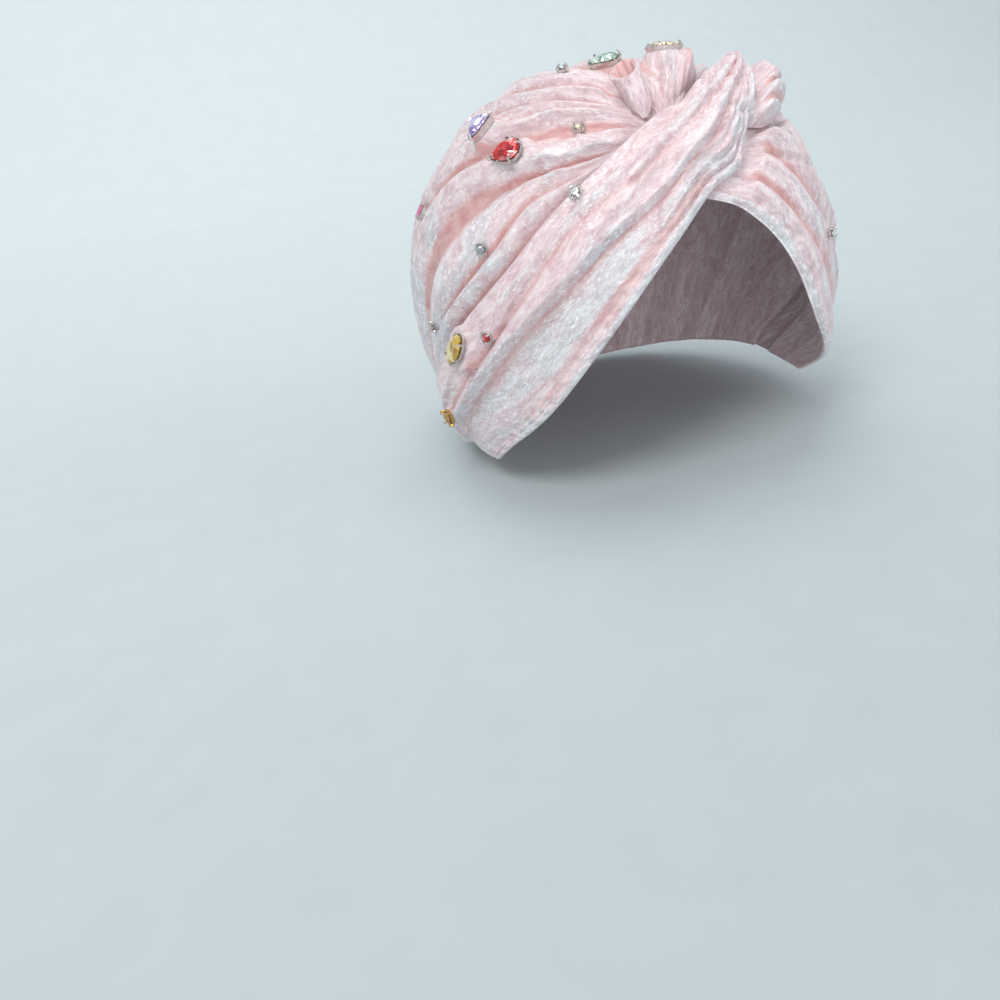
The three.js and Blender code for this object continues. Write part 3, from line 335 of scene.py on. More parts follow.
KNOT_OUT = pointing(*KNOT_CENTRE)
KNOT_SIDE = unit(np.cross((0, 0, 1), KNOT_OUT))
KNOT_UP = np.cross(KNOT_OUT, KNOT_SIDE)
KNOT_RADIUS = float(form_radius(KNOT_OUT))
KNOT_SEAT = LAYER_GAP + LAYER


def knot_place(d):
    """Millimetres sideways and upwards from the knot's middle."""
    scale = KNOT_RADIUS / np.maximum(0.2, d @ KNOT_OUT)
    return (d @ KNOT_SIDE) * scale, (d @ KNOT_UP) * scale


def knot_reach(d):
    """0 at the knot's middle and 1 on its rim."""
    side, up = knot_place(d)
    return np.hypot(side / KNOT_HALF_ACROSS, up / KNOT_HALF_UP)


def knot_mound(d):
    reach = knot_reach(d) ** 2
    return KNOT_HEIGHT * np.sqrt(np.maximum(0, 1 - reach * reach))


def over_crown(d):
    """1 where the crown's cloth lies underneath, falling to 0 beyond its edges."""
    place, turn = fan_place(d)
    arc = 2 / (np.exp(place) + np.exp(-place))
    right = ease(-8, -3.5, arc * (turn - along(TURN_STATIONS, CROWN_LINES[0][1], place)))
    left = ease(-8, -3.5, arc * (along(TURN_STATIONS, CROWN_LINES[-1][1], place) - turn))
    return np.maximum(right * left, ease(-2, -2.6, place))


# Where the bare crown starts and is whole: degrees outside a band, and reach of the knot
BARE_BY_RIGHT = (0.3, 3.2)
BARE_BY_LEFT = (0.6, 4)
BARE_BY_KNOT = (1.02, 1.25)


def uncovered(d):
    """1 on bare crown, falling to 0 under the bands and the knot."""
    right = ease(*BARE_BY_RIGHT, outside_by(RIGHT_OUTLINE, d))
    left = ease(*BARE_BY_LEFT, outside_by(LEFT_OUTLINE, d))
    return right * left * ease(*BARE_BY_KNOT, knot_reach(d))


# Smooth noise from a seeded lattice, the same at every run
CELLS = 32
LATTICE = np.random.RandomState(7).rand(CELLS, CELLS, CELLS) * 2 - 1


def noise(points):
    """Smooth noise between -1 and 1 at points counted in lattice cells."""
    cell = np.floor(points).astype(int)
    t = points - cell
    t = t * t * (3 - 2 * t)
    total = 0
    for dx in (0, 1):
        for dy in (0, 1):
            for dz in (0, 1):
                x, y, z = np.moveaxis((cell + (dx, dy, dz)) % CELLS, -1, 0)
                value = LATTICE[x, y, z]
                weight = np.where(dx, t[..., 0], 1 - t[..., 0]) * np.where(dy, t[..., 1], 1 - t[..., 1])
                total = total + value * weight * np.where(dz, t[..., 2], 1 - t[..., 2])
    return total


def flat_noise(u, v, layer):
    """Noise over two running lengths in millimetres; a new layer gives a new pattern."""
    return noise(np.stack((u, v, np.full_like(u, layer + 0.5)), -1))


def fold_profile(low, high, share):
    """Round at the crests and sharp in the dips."""
    rising = lerp(low, high, np.sin(share * math.pi / 2))
    falling = lerp(high, low, np.sin((1 - share) * math.pi / 2))
    return np.where(high >= low, rising, falling)


def fold_rows(count, steps):
    """Line number and share of the way to the next line for every row of a folded sheet."""
    line = np.repeat(np.arange(count - 1), steps)
    share = np.tile(np.arange(steps) / steps, count - 1)
    return np.append(line, count - 2), np.append(share, 1.0)


def rim_drop(distance, thickness):
    """How far the outer face falls near a cut edge, so that the edge is round."""
    inward = np.clip(1 - distance / (thickness / 2), 0, 1)
    return thickness / 2 * (1 - np.sqrt(1 - inward**2))


def edge_distance(grid):
    """Running distance in millimetres from each of the four edges of a grid of points."""
    steps_down = np.linalg.norm(np.diff(grid, axis=0), axis=-1)
    steps_across = np.linalg.norm(np.diff(grid, axis=1), axis=-1)
    down = np.concatenate((np.zeros((1, grid.shape[1])), steps_down.cumsum(0)))
    across = np.concatenate((np.zeros((grid.shape[0], 1)), steps_across.cumsum(1)), 1)
    return down, down[-1:] - down, across, across[:, -1:] - across


# Cloth moves to meet a stone's cup where its median distance from the foot is within SEAT_MOVE,
# or within the value here for a named cup
SEAT_MOVE = 1.8
RAISED_SEATS = {"champagne_setting": 6.5}
# Cloth further than this from the level of a cup's foot isn't moved for it
SEAT_DEPTH = 8
# Shares of a cup's radius: cloth fully moved, cloth pressed level, cloth not moved any more
SEAT_FULL = 1.05
SEAT_LEVEL = 1.2
SEAT_END = 1.9
# Height of the pressed cloth over the foot of the cup
SEAT_PRESSED = -0.1
# Points of a cup this close to its lowest level belong to its foot
FOOT_SLACK = 0.05


def cup_seats():
    """Foot, outward axis and radius of every stone's cup, read from the frame."""
    seats = []
    for name, node in frame["nodes"].items():
        if not name.endswith("_setting"):
            continue
        points = np.array([node.matrix_world @ v.co for v in node.data.vertices]) / MM
        middle = points.mean(0)
        outward = np.linalg.svd(points - middle)[2][-1]
        outward = outward * np.sign(outward.dot(middle))
        level = (points - middle) @ outward
        base = points[level < level.min() + FOOT_SLACK]
        foot = base.mean(0)
        radius = np.linalg.norm(base - foot, axis=1).max()
        seats.append((foot, outward, radius, RAISED_SEATS.get(name, SEAT_MOVE)))
    return seats


SEATS = cup_seats()


def make_mesh(name, points, faces, uv=None, tints=()):
    mesh = bpy.data.meshes.new(name)
    mesh.from_pydata((points * MM).tolist(), [], faces.tolist())
    mesh.update()
    mesh.polygons.foreach_set("use_smooth", np.ones(len(mesh.polygons), bool))
    corner = np.empty(len(mesh.loops), int)
    mesh.loops.foreach_get("vertex_index", corner)
    if uv is not None:
        mesh.uv_layers.new(name="cloth").data.foreach_set("uv", uv[corner].ravel())
    for key, values in tints:
        mesh.attributes.new(key, "FLOAT", "POINT").data.foreach_set("value", values)
    obj = bpy.data.objects.new(name, mesh)
    bpy.context.scene.collection.objects.link(obj)
    return obj


def shell(name, outer, inner, u, v, recess_shade, painted_sheen, wraps=False, lining=0.1):
    """Closed sheet between an outer and an inner grid.

    wraps joins the last row to the first; lining is the share of painted shade on the inner face.
    """
    rows, columns = outer.shape[:2]
    index = np.arange(rows * columns).reshape(rows, columns)
    if wraps:
        index = np.concatenate((index, index[:1]))
    a, b, c, d = index[:-1, :-1], index[1:, :-1], index[1:, 1:], index[:-1, 1:]
    count = rows * columns
    faces = [np.stack((a, b, c, d), -1).reshape(-1, 4), np.stack((a, d, c, b), -1).reshape(-1, 4) + count]
    around = np.concatenate((index[:, 0], index[-1, 1:], index[-2::-1, -1], index[0, -2::-1]))
    sides = [index[:, 0], index[::-1, -1]] if wraps else [around]
    for rim in sides:
        p, q = rim[:-1], rim[1:]
        faces.append(np.stack((p, p + count, q + count, q), -1))
    points = np.concatenate((outer.reshape(-1, 3), inner.reshape(-1, 3)))
    flat = np.stack((u, v), -1).reshape(-1, 2)
    # Shares of painted shade and painted sheen at each point; the inner face takes the lining's painted
    # shade and no sheen
    tints = [
        ("recess_shade", np.concatenate((recess_shade.ravel(), np.full(count, lining)))),
        ("painted_sheen", np.concatenate((painted_sheen.ravel(), np.zeros(count)))),
    ]
    obj = make_mesh(name, points, np.concatenate(faces), np.concatenate((flat, flat)), tints)
    middle = Vector(points.mean(0) * MM)
    turned = obj.data.polygons[len(faces[0]) // 2]
    if (turned.center - middle).dot(turned.normal) < 0:
        obj.data.flip_normals()
    return obj


# Rows that a row is compared with, and how far below them a dip is at the full depth of its painted shade
RECESS_ROWS = (-9, -6, -3, 3, 6, 9)
RECESS_DEPTH = 2.2


def recess_shade_of(height):
    """Share of painted salmon shade: 1 in the dips between folds and 0 on the crests, from the height of
    the rows around.
    """
    around = sum(np.roll(height, k, axis=0) for k in RECESS_ROWS) / len(RECESS_ROWS)
    return np.clip((around - height) / RECESS_DEPTH + 0.05, 0, 1)


# Fineness of each sheet: rows between two fold lines, and columns
CROWN_FINENESS = (12, 150)
RIGHT_FINENESS = (11, 300)
LEFT_FINENESS = (10, 200)
KNOT_FINENESS = (120, 92)
# Creases of the right band: name, first and last place, share across there, depth, half width
RIGHT_CREASES = [
    ("apex pleat low", 6.6, 11.2, 0.1, 0.1, 1.0, 0.6),
    ("apex pleat high", 6.2, 11.4, 0.17, 0.2, 1.2, 0.7),
    ("apex pleat top", 7.4, 12, 0.28, 0.3, 0.9, 0.6),
    ("upper fold line", 6.6, 11, 0.6, 0.68, 1.2, 0.8),
    ("low fold line", 2, 5.4, 0.57, 0.76, 1.4, 0.7),
    ("rear side crease", 0.6, 4.6, 0.66, 0.84, 0.7, 0.8),
]
LEFT_CREASES = [
    ("diagonal crease", 0.7, 2.9, 0.38, 0.66, 1.3, 0.8),
    ("diagonal low", 0.7, 3.8, 0.2, 0.26, 1.2, 0.8),
    ("side crease", 3.6, 7.6, 0.32, 0.44, 0.6, 0.9),
    ("low crease", 5.0, 8.6, 0.62, 0.5, 0.6, 0.9),
]
# Soft waves worn into the cloth: name, height, length along the folds, width, noise layer
WEAR_WAVES = [
    ("long", 0.42, 26, 4.2, 0),
    ("short", 0.2, 8, 2.4, 3),
    ("small", 0.1, 3.1, 1.6, 6),
]
# Small crumples of the bands, with the same columns
SMALL_CRUMPLES = [
    ("coarse", 1, 3.6, 2.6, 15),
    ("fine", 0.5, 1.9, 1.5, 18),
]
# Puckers of the gathered crown: name, height, waves in a full turn, wander, and the length,
# turn and layer of the noise that they wander by
PUCKERS = [
    ("coarse", 0.75, 36, 3, 20, 9, 40),
    ("fine", 0.35, 83, 4, 14, 6, 44),
]
# Thin wandering creases: height, length along the folds, width, noise layer
THIN_CREASES = (0.4, 22, 5.5, 9)
# Raised lip on every fold crest
LIP_HEIGHT = 0.55
LIP_WIDTH = 1.1
# Stitch line of a band: distance from the hem, depth and half width
HEM_STITCH = 3.3
STITCH_DEPTH = 0.5
STITCH_WIDTH = 0.45


def line_values(stations, lines, column, line, place):
    """Values of the two fold lines beside every row, at each place along it."""
    low, high = np.empty_like(place), np.empty_like(place)
    for k in range(len(lines) - 1):
        rows = line == k
        low[rows] = along(stations, lines[k][column], place[rows])
        high[rows] = along(stations, lines[k + 1][column], place[rows])
    return low, high


def lips(lines, steps, v):
    """1 on the narrow raised lip of every crest, from the running width of the sheet."""
    mark = np.zeros_like(v)
    for k, row in enumerate(lines):
        if "lip" in row[0] or "crest" in row[0]:
            mark = np.maximum(mark, np.exp(-(((v - v[k * steps]) / LIP_WIDTH) ** 2)))
    return mark


def ridged(u, v, layer):
    """Thin lines where smooth noise crosses zero: 1 on a line, 0 away from it."""
    return np.clip(1 - 5 * np.abs(flat_noise(u, v, layer)), 0, 1) ** 2


def waves(table, u, v, layer):
    """Sum of the noise waves that a table lists."""
    return sum(
        height * flat_noise(u / length, v / width, layer + step)
        for _, height, length, width, step in table
    )


def worn(u, v, layer):
    """Soft creasing of the cloth in millimetres, long along the folds."""
    height, length, width, step = THIN_CREASES
    return waves(WEAR_WAVES, u, v, layer) - height * ridged(u / length, v / width, layer + step)


def rounded(outer, inner, edges, thickness):
    """Both faces drawn together at the edges of a sheet, so that its edge is round."""
    nearest = np.minimum.reduce(edges)
    drop = (rim_drop(nearest, thickness) / thickness)[..., None]
    return lerp(outer, inner, drop), lerp(inner, outer, drop)


def seated(outer, inner):
    """The cloth comes up or down to meet the foot of each stone's cup."""
    flat, move = outer.reshape(-1, 3), np.zeros((outer.size // 3, 3))
    for foot, outward, radius, most in SEATS:
        offset = flat - foot
        level = offset @ outward
        away = np.linalg.norm(offset - level[:, None] * outward, axis=1)
        under = (away < radius) & (np.abs(level) < SEAT_DEPTH)
        if not under.any() or abs(np.median(level[under])) > most:
            continue
        near = (away < radius * SEAT_END) & (np.abs(level) < SEAT_DEPTH)
        hold = ease(radius * SEAT_END, radius * SEAT_FULL, away[near])
        beside = np.minimum(level[near], -SEAT_PRESSED)
        target = np.where(away[near] < radius * SEAT_LEVEL, SEAT_PRESSED, beside)
        move[near] += ((target - level[near]) * hold)[:, None] * outward
    move = move.reshape(outer.shape)
    return outer + move, inner + move


def path_samples(rows, count):
    """Directions, radii and lifts along a rolled pleat."""
    places = np.arange(len(rows))
    t = np.linspace(0, len(rows) - 1, count)
    column = lambda k: along(places, [row[k] for row in rows], t)
    d = pointing(column(1), column(2))
    return d, column(3), column(4)


# Samples along a rolled pleat, and how far its side reaches in radii
ROLL_SAMPLES = 70
ROLL_REACH = 1.12


def roll_height(d, rows):
    """Height of a rolled pleat over the head form, and the distance from its middle line in radii."""
    base = d * form_radius(d)[..., None]
    height, nearest = np.zeros(d.shape[:-1]), np.full(d.shape[:-1], 9.0)
    for middle, radius, lift in zip(*path_samples(rows, ROLL_SAMPLES)):
        away = np.linalg.norm(base - middle * form_radius(middle), axis=-1) / radius
        nearest = np.minimum(nearest, away)
        profile = (lift + radius) * np.clip(1 - (away / ROLL_REACH) ** 2.4, 0, 1) ** 0.6
        height = np.maximum(height, profile)
    return height, nearest


def painted_sheen_share(d):
    """Painted sheen where the pile lies flat and pale: the lower right of the crown and its hem, as a
    share.
    """
    bearing = bearing_of(d)
    level = np.degrees(np.arcsin(np.clip(d[..., 2], -1, 1)))
    return 0.85 * ease(20, 52, bearing) * ease(160, 95, bearing) * ease(56, 14, level)


# Search along a crown line for its hem: the first range of places, and the number of halvings
HEM_RANGE = (-0.6, 2.4)
HALVINGS = 40


def crown_grids():
    """Both faces of the crown's cloth, its running lengths, and its shares of painted shade and painted
    sheen.
    """
    steps, columns = CROWN_FINENESS
    line, share = fold_rows(len(CROWN_LINES), steps)
    share = share[:, None]

    def turned(place):
        low, high = line_values(TURN_STATIONS, CROWN_LINES, 1, line, place)
        return lerp(low, high, share)

    low, high = (np.full((len(line), 1), place) for place in HEM_RANGE)
    for _ in range(HALVINGS):
        middle = (low + high) / 2
        d = fan_direction(middle, turned(middle))
        above = form_radius(d) * d[..., 2] > along(HEM_BEARINGS, HEM_LEVELS, bearing_of(d))
        low, high = np.where(above, middle, low), np.where(above, high, middle)
    place = lerp(CROWN_START, low, (np.linspace(0, 1, columns) ** 0.8)[None, :])
    turn = turned(place)
    d = fan_direction(place, turn)
    radius = form_radius(d)
    height = fold_profile(*line_values(HEIGHT_STATIONS, CROWN_LINES, 2, line, place), share)
    bare = uncovered(d)
    base = d * radius[..., None]
    down, _, u, _ = edge_distance(base)
    at_middle = int(columns * 0.55)
    v = np.repeat(down[:, at_middle, None], columns, 1)
    gathered = ease(-0.5, -1.7, place)
    puckers = sum(
        tall * np.sin(np.radians(turn * count) + wander * flat_noise(u / length, turn / width, layer))
        for _, tall, count, wander, length, width, layer in PUCKERS
    )
    lip = lips(CROWN_LINES, steps, down) * ease(-2.6, -1.6, place)
    crease = worn(u, v, 0) * lerp(1, 0.6, gathered) + puckers * gathered + LIP_HEIGHT * lip
    puff, _ = roll_height(d, PUFF)
    _, beside = roll_height(d, TUNNEL)
    folded = height * bare
    folded = np.where(puff > 0, (folded + puff + np.sqrt((folded - puff) ** 2 + 0.5)) / 2, folded)
    clear = ease(0.7, 1.5, beside)
    folded = lerp(np.minimum(folded, 0.3), folded, clear)
    crease = crease * bare * lerp(0.2, 1, clear)
    outer = d * (radius + folded + crease)[..., None]
    inner = d * (radius - CLOTH + FOLD_HOLLOW * folded + 0.6 * crease)[..., None]
    # Painted shade in the dips between the folds
    recess_shade = recess_shade_of(height * bare)
    outer, inner = seated(outer, inner)
    outer, inner = rounded(outer, inner, edge_distance(outer), CLOTH)
    # Painted sheen on the lower right, and a painted highlight along every crest's lip
    pale = np.maximum(painted_sheen_share(d), 0.5 * lip) * bare
    return outer, inner, u, v, recess_shade, pale


def creased(creases, place, across, whole):
    """Depth of the named creases at each place of a band."""
    depth = 0
    for _, first, last, share_first, share_last, deep, width in creases:
        t = (place - first) / (last - first)
        ends = ease(0, 0.25, t) * ease(1, 0.7, t)
        away = (across - lerp(share_first, share_last, np.clip(t, 0, 1))) * whole / width
        depth = depth + deep * ends * (np.exp(-(away**2)) - 0.45 * np.exp(-((away - 1.9) ** 2)))
    return depth


def band_grids(stations, fold_stations, folds, fineness, floor, cover, creases, layer, crumple, toned):
    """Both faces of a folded band, its running lengths, and its shares of painted shade and painted sheen.
    """
    steps, columns = fineness
    line, share = fold_rows(len(folds), steps)
    share = share[:, None]
    end = len(stations) - 1
    place = np.repeat(np.linspace(0, end, columns)[None, :], len(line), 0)
    places = np.arange(len(stations))
    side = lambda k, axis: along(places, [row[k][axis] for row in stations], place)
    across = lerp(*line_values(fold_stations, folds, 1, line, place), share)
    face, rear = pointing(side(1, 0), side(1, 1)), pointing(side(2, 0), side(2, 1))
    d = unit(lerp(face, rear, across[..., None]))
    ends = ease(-0.2, 0.8, place) * ease(-0.2, 0.8, end - place)
    height = np.maximum(0, fold_profile(*line_values(fold_stations, folds, 2, line, place), share))
    height = height * cover(d) * lerp(0.5, 1, ends)
    base = floor(d)
    ground = d * base[..., None]
    v, v_end, u, _ = edge_distance(ground)
    crease = worn(u, v, layer) * 0.9 - creased(creases, place, across, v + v_end)
    crease -= STITCH_DEPTH * np.exp(-(((v - HEM_STITCH) / STITCH_WIDTH) ** 2))
    near_hem = ease(10, 3, v) * ease(0, 1.5, v)
    crease += near_hem * 0.3 * np.sin(u / 1.1 + 3 * flat_noise(u / 11, v / 9, layer + 12))
    lip = lips(folds, steps, v)
    crease += crumple(place, across) * waves(SMALL_CRUMPLES, u, v, layer) + LIP_HEIGHT * lip
    calm = ease(0, 1.6, np.minimum(v, v_end))
    crease *= calm * cover(d) * lerp(0.3, 1, ends)
    outer = d * (base + CLOTH + height + crease)[..., None]
    inner = d * (base + FOLD_HOLLOW * height + np.minimum(0.6 * crease, 0.4))[..., None]
    # Shares of painted sheen and of a painted shade strip, from the band's tones
    pale, strip_shade = toned(place, across, v)
    # Painted shade in the dips between folds, faded near the edges, and the painted shade strip
    recess_shade = np.maximum(recess_shade_of(height) * ease(0, 4, np.minimum(v, v_end)), strip_shade)
    # Painted highlight along every crest's lip
    pale = np.maximum(pale, 0.45 * lip)
    outer, inner = seated(outer, inner)
    outer, inner = rounded(outer, inner, edge_distance(outer), CLOTH)
    return outer, inner, u, v, recess_shade, pale


def first_layer(d):
    """Inner face of a band, against the head or over the crown's cloth."""
    return form_radius(d) + lerp(-SOLID_CLOTH, LAYER_GAP, over_crown(d))


def left_cover(d):
    """1 on the bare left band, falling to 0 under the right band and the knot."""
    return ease(1.6, 5.5, outside_by(RIGHT_OUTLINE, d)) * ease(1.08, 1.3, knot_reach(d))


def right_floor(d):
    """Inner face of the right band, over the left band and pulled across the knot."""
    on_left = 1 - ease(1, 6, outside_by(LEFT_OUTLINE, d))
    plain = first_layer(d) + LAYER * on_left
    over_knot = KNOT_SEAT + KNOT_RIM + LAYER_GAP + KNOT_SPARE
    on_knot = form_radius(d) + over_knot + knot_mound(d) * (1 - KNOT_TUCK)
    return lerp(np.maximum(plain, on_knot), plain, ease(1.1, 1.45, knot_reach(d)))


def knot_grids():
    """Both faces of the knot's roll, its running lengths, and its shares of painted shade and painted
    sheen.
    """
    rows, columns = KNOT_FINENESS
    share = KNOT_REACH * np.sin(np.linspace(-1, 1, rows) * math.pi / 2)[:, None]
    across = KNOT_HALF_ACROSS * np.sqrt(1 - share**2)
    side = -across * np.cos(np.linspace(0, math.pi, columns))[None, :]
    up = np.repeat(share * KNOT_HALF_UP, columns, 1)
    d = unit(KNOT_OUT * KNOT_RADIUS + side[..., None] * KNOT_SIDE + up[..., None] * KNOT_UP)
    covered = 1 - ease(1.6, 4.6, outside_by(RIGHT_OUTLINE, d))
    mound = knot_mound(d)
    height = mound * (1 - KNOT_TUCK * covered)
    bend = 1.6 * np.sin(side / 7.5) + 1.2 * flat_noise(side / 9, up / 9, 60)
    groove = 0
    for _, level, width, depth in KNOT_GROOVES:
        groove = groove + depth * np.exp(-(((up + bend - level) / width) ** 2))
    rise = ease(0.4, 3, mound)
    height = height - groove * (1 - covered) * rise
    crease = worn(side, up, 63) * 0.9 + 0.5 * flat_noise(side / 6, up / 1.7, 66)
    height = np.maximum(0, height + crease * rise * (1 - 0.8 * covered))
    radius = form_radius(d) + KNOT_SEAT
    outer = d * (radius + KNOT_RIM + height)[..., None]
    inner = d * radius[..., None]
    # Painted shade in the knot's grooves, where the right band doesn't cover it
    recess_shade = np.clip(groove / 2.4, 0, 1) * (1 - covered)
    outer, inner = seated(outer, inner)
    outer, inner = rounded(outer, inner, edge_distance(outer), KNOT_RIM)
    # Painted sheen on the lower part of the knot
    return outer, inner, side, up, recess_shade, 0.5 * ease(-3, -9, up)


def tunnel_grids():
    """Rolled pleat open at its upper end, as rings around a path on the crown."""
    around, columns = TUNNEL_FINENESS
    d, radius, lift = path_samples(TUNNEL, columns)
    centre = d * (form_radius(d) + lift)[..., None]
    heading = unit(np.gradient(centre, axis=0))
    side = unit(np.cross(heading, centre))
    up = np.cross(side, heading)
    angle = (np.arange(around) / around * 2 * math.pi)[:, None]
    t = np.linspace(0, 1, columns)[None, :]
    run = np.append(0, np.linalg.norm(np.diff(centre, axis=0), axis=1).cumsum())
    u = np.repeat(run[None, :], around, 0)
    v = angle * 5 * np.ones_like(t)
    ripple = 0.3 * np.sin(angle * 5 + 2 * t) + 0.15 * np.sin(angle * 9 - 3 * t)
    foot = ease(-0.1, 0.3, t)
    wide = radius[None, :] * (0.35 + 0.65 * foot) + ripple * foot
    tall = wide * (1 - 0.1 * np.maximum(0, np.sin(angle)))
    flared = wide + 0.5 * ease(0.8, 1, t)
    narrow = np.maximum(wide - TUNNEL_WALL, 0.35)
    spin = lambda r, s: centre + side * (r * np.cos(angle))[..., None] + up * (s * np.sin(angle))[..., None]
    slant = along(np.arange(len(TUNNEL)), [row[5] for row in TUNNEL], t[0] * (len(TUNNEL) - 1))
    back = -(slant * radius)[None, :, None] * heading * np.cos(angle - MOUTH_FACING)[..., None]
    outer, inner = spin(flared, tall) + back, spin(narrow, narrow) + back
    outer, inner = rounded(outer, inner, edge_distance(outer)[3:], TUNNEL_WALL)
    # Painted shade on the side of the roll toward the head, and a light painted sheen all over it
    recess_shade = 0.25 * (1 - np.sin(angle)) * np.ones_like(t)
    return outer, inner, u, v, recess_shade, np.full_like(u, 0.25)


class Shader:
    """A node material built from short calls."""

    def __init__(self, name):
        self.material = bpy.data.materials.new(name)
        self.material.use_nodes = True
        self.tree = self.material.node_tree
        self.tree.nodes.clear()
        self.surface = self.add("ShaderNodeBsdfPrincipled")
        output = self.add("ShaderNodeOutputMaterial")
        self.link(self.surface.outputs[0], output.inputs["Surface"])

    def add(self, kind, **settings):
        node = self.tree.nodes.new(kind)
        for key, value in settings.items():
            setattr(node, key, value)
        return node

    def link(self, source, target):
        self.tree.links.new(source, target)

    def set(self, **values):
        for key, value in values.items():
            self.surface.inputs[key.replace("_", " ")].default_value = value

    def place(self, scale, kind="UV"):
        """Texture place stretched by scale."""
        source = self.add("ShaderNodeTexCoord").outputs[kind]
        mapping = self.add("ShaderNodeMapping")
        mapping.inputs["Scale"].default_value = scale
        self.link(source, mapping.inputs["Vector"])
        return mapping.outputs[0]

    def noise(self, place, detail=4.0, rough=0.6, twist=0.0, scale=1.0):
        node = self.add("ShaderNodeTexNoise")
        node.inputs["Scale"].default_value = scale
        node.inputs["Detail"].default_value = detail
        node.inputs["Roughness"].default_value = rough
        node.inputs["Distortion"].default_value = twist
        self.link(place, node.inputs["Vector"])
        return node.outputs[0]

    def ramp(self, value, stops):
        node = self.add("ShaderNodeValToRGB")
        elements = node.color_ramp.elements
        while len(elements) < len(stops):
            elements.new(0.5)
        for element, (position, shade) in zip(elements, stops):
            element.position = position
            element.color = (*shade, 1) if isinstance(shade, tuple) else (shade, shade, shade, 1)
        self.link(value, node.inputs[0])
        return node.outputs[0]

    def range(self, value, low, high, to_low=0.0, to_high=1.0):
        node = self.add("ShaderNodeMapRange")
        for key, number in zip(("From Min", "From Max", "To Min", "To Max"), (low, high, to_low, to_high)):
            node.inputs[key].default_value = number
        self.link(value, node.inputs["Value"])
        return node.outputs[0]

    def math(self, operation, a, b):
        node = self.add("ShaderNodeMath", operation=operation)
        for socket, value in zip(node.inputs, (a, b)):
            if isinstance(value, (int, float)):
                socket.default_value = value
            else:
                self.link(value, socket)
        return node.outputs[0]

    def mix(self, share, a, b, blend="MIX"):
        node = self.add("ShaderNodeMix", data_type="RGBA", blend_type=blend)
        for socket, value in ((node.inputs[0], share), (node.inputs[6], a), (node.inputs[7], b)):
            if isinstance(value, tuple):
                socket.default_value = (*value, 1)
            elif isinstance(value, (int, float)):
                socket.default_value = value
            else:
                self.link(value, socket)
        return node.outputs[2]

    def bump(self, height, strength, distance):
        node = self.add("ShaderNodeBump")
        node.inputs["Strength"].default_value = strength
        node.inputs["Distance"].default_value = distance
        self.link(height, node.inputs["Height"])
        self.link(node.outputs[0], self.surface.inputs["Normal"])


def velvet():
    """Pale pink crushed velvet with painted light: painted glints in patches, painted salmon shade in the
    dips, and a painted silvery sheen where the pile is flat.
    """
    m = Shader("crushed velvet")
    fine = m.noise(m.place((0.55, 1.2, 1)), 4, 0.7, 0.6)
    flecks = m.noise(m.place((0.12, 0.34, 1)), 4, 0.6, 0.8)
    patches = m.noise(m.place((0.045, 0.075, 1)), 3, 0.55, 0.7)
    pile = m.noise(m.place((4200, 4200, 4200), "Object"), 2, 0.6)
    # Shares of painted shade and painted sheen, carried on the cloth's points
    recess_shade = m.add("ShaderNodeAttribute", attribute_name="recess_shade").outputs["Fac"]
    painted_sheen = m.add("ShaderNodeAttribute", attribute_name="painted_sheen").outputs["Fac"]
    crushed = m.math("ADD", m.math("MULTIPLY", flecks, 0.65), m.math("MULTIPLY", fine, 0.35))
    pink = m.ramp(crushed, [
        (0.34, (0.55, 0.39, 0.42)),
        (0.46, (0.67, 0.51, 0.54)),
        (0.56, (0.76, 0.64, 0.66)),
        (0.68, (0.85, 0.78, 0.80)),
    ])
    # Painted sheen: the velvet's tones turned silvery grey-lilac
    sheen_tone = m.ramp(crushed, [
        (0.32, (0.50, 0.45, 0.48)),
        (0.46, (0.59, 0.56, 0.59)),
        (0.58, (0.70, 0.71, 0.74)),
        (0.70, (0.82, 0.85, 0.88)),
    ])
    # Share of painted sheen, where the pile lies flat, broken by random patches
    patch = m.range(patches, 0.42, 0.6, -0.3, 0.35)
    pale = m.range(m.math("ADD", painted_sheen, patch), 0.3, 0.95)
    body = m.mix(pale, pink, sheen_tone)
    # Painted glints: near-white flecks in lit patches and where the painted sheen is
    lit = m.range(patches, 0.44, 0.62)
    shown = m.math("MAXIMUM", lit, m.range(painted_sheen, 0.1, 0.7, 0.15, 0.9))
    painted_glint = m.math("MULTIPLY", m.range(fine, 0.54, 0.64), shown)
    with_glints = m.mix(m.math("MULTIPLY", painted_glint, 0.8), body, (0.95, 0.945, 0.96))
    # Painted shade: salmon colour in the dips between folds, broken up a little by the fine noise
    deep = m.range(m.math("SUBTRACT", recess_shade, m.range(fine, 0.3, 0.7, -0.12, 0.12)), 0.16, 0.8, 0, 0.76)
    recess_shade_tone = m.ramp(flecks, [(0.35, (0.60, 0.26, 0.24)), (0.65, (0.70, 0.40, 0.37))])
    colour = m.mix(deep, with_glints, recess_shade_tone)
    m.link(colour, m.surface.inputs["Base Color"])
    m.link(m.range(crushed, 0.36, 0.66, 0.5, 0.28), m.surface.inputs["Roughness"])
    m.set(Sheen_Weight=0.35, Sheen_Roughness=0.3, Specular_IOR_Level=0.5)
    m.surface.inputs["Sheen Tint"].default_value = (1.0, 0.95, 0.96, 1)
    relief = m.math("ADD", crushed, m.math("MULTIPLY", pile, 0.1))
    m.bump(relief, 0.5, 0.0008)
    return m.material


def metal(name, tone, shade):
    """Polished metal with a little wear, between two tones."""
    m = Shader(name)
    wear = m.noise(m.place((900, 900, 900), "Object"), 4, 0.6)
    m.link(m.ramp(wear, [(0.3, shade), (0.7, tone)]), m.surface.inputs["Base Color"])
    m.link(m.range(wear, 0.3, 0.7, 0.14, 0.34), m.surface.inputs["Roughness"])
    m.set(Metallic=1.0)
    m.bump(wear, 0.25, 0.00006)
    return m.material


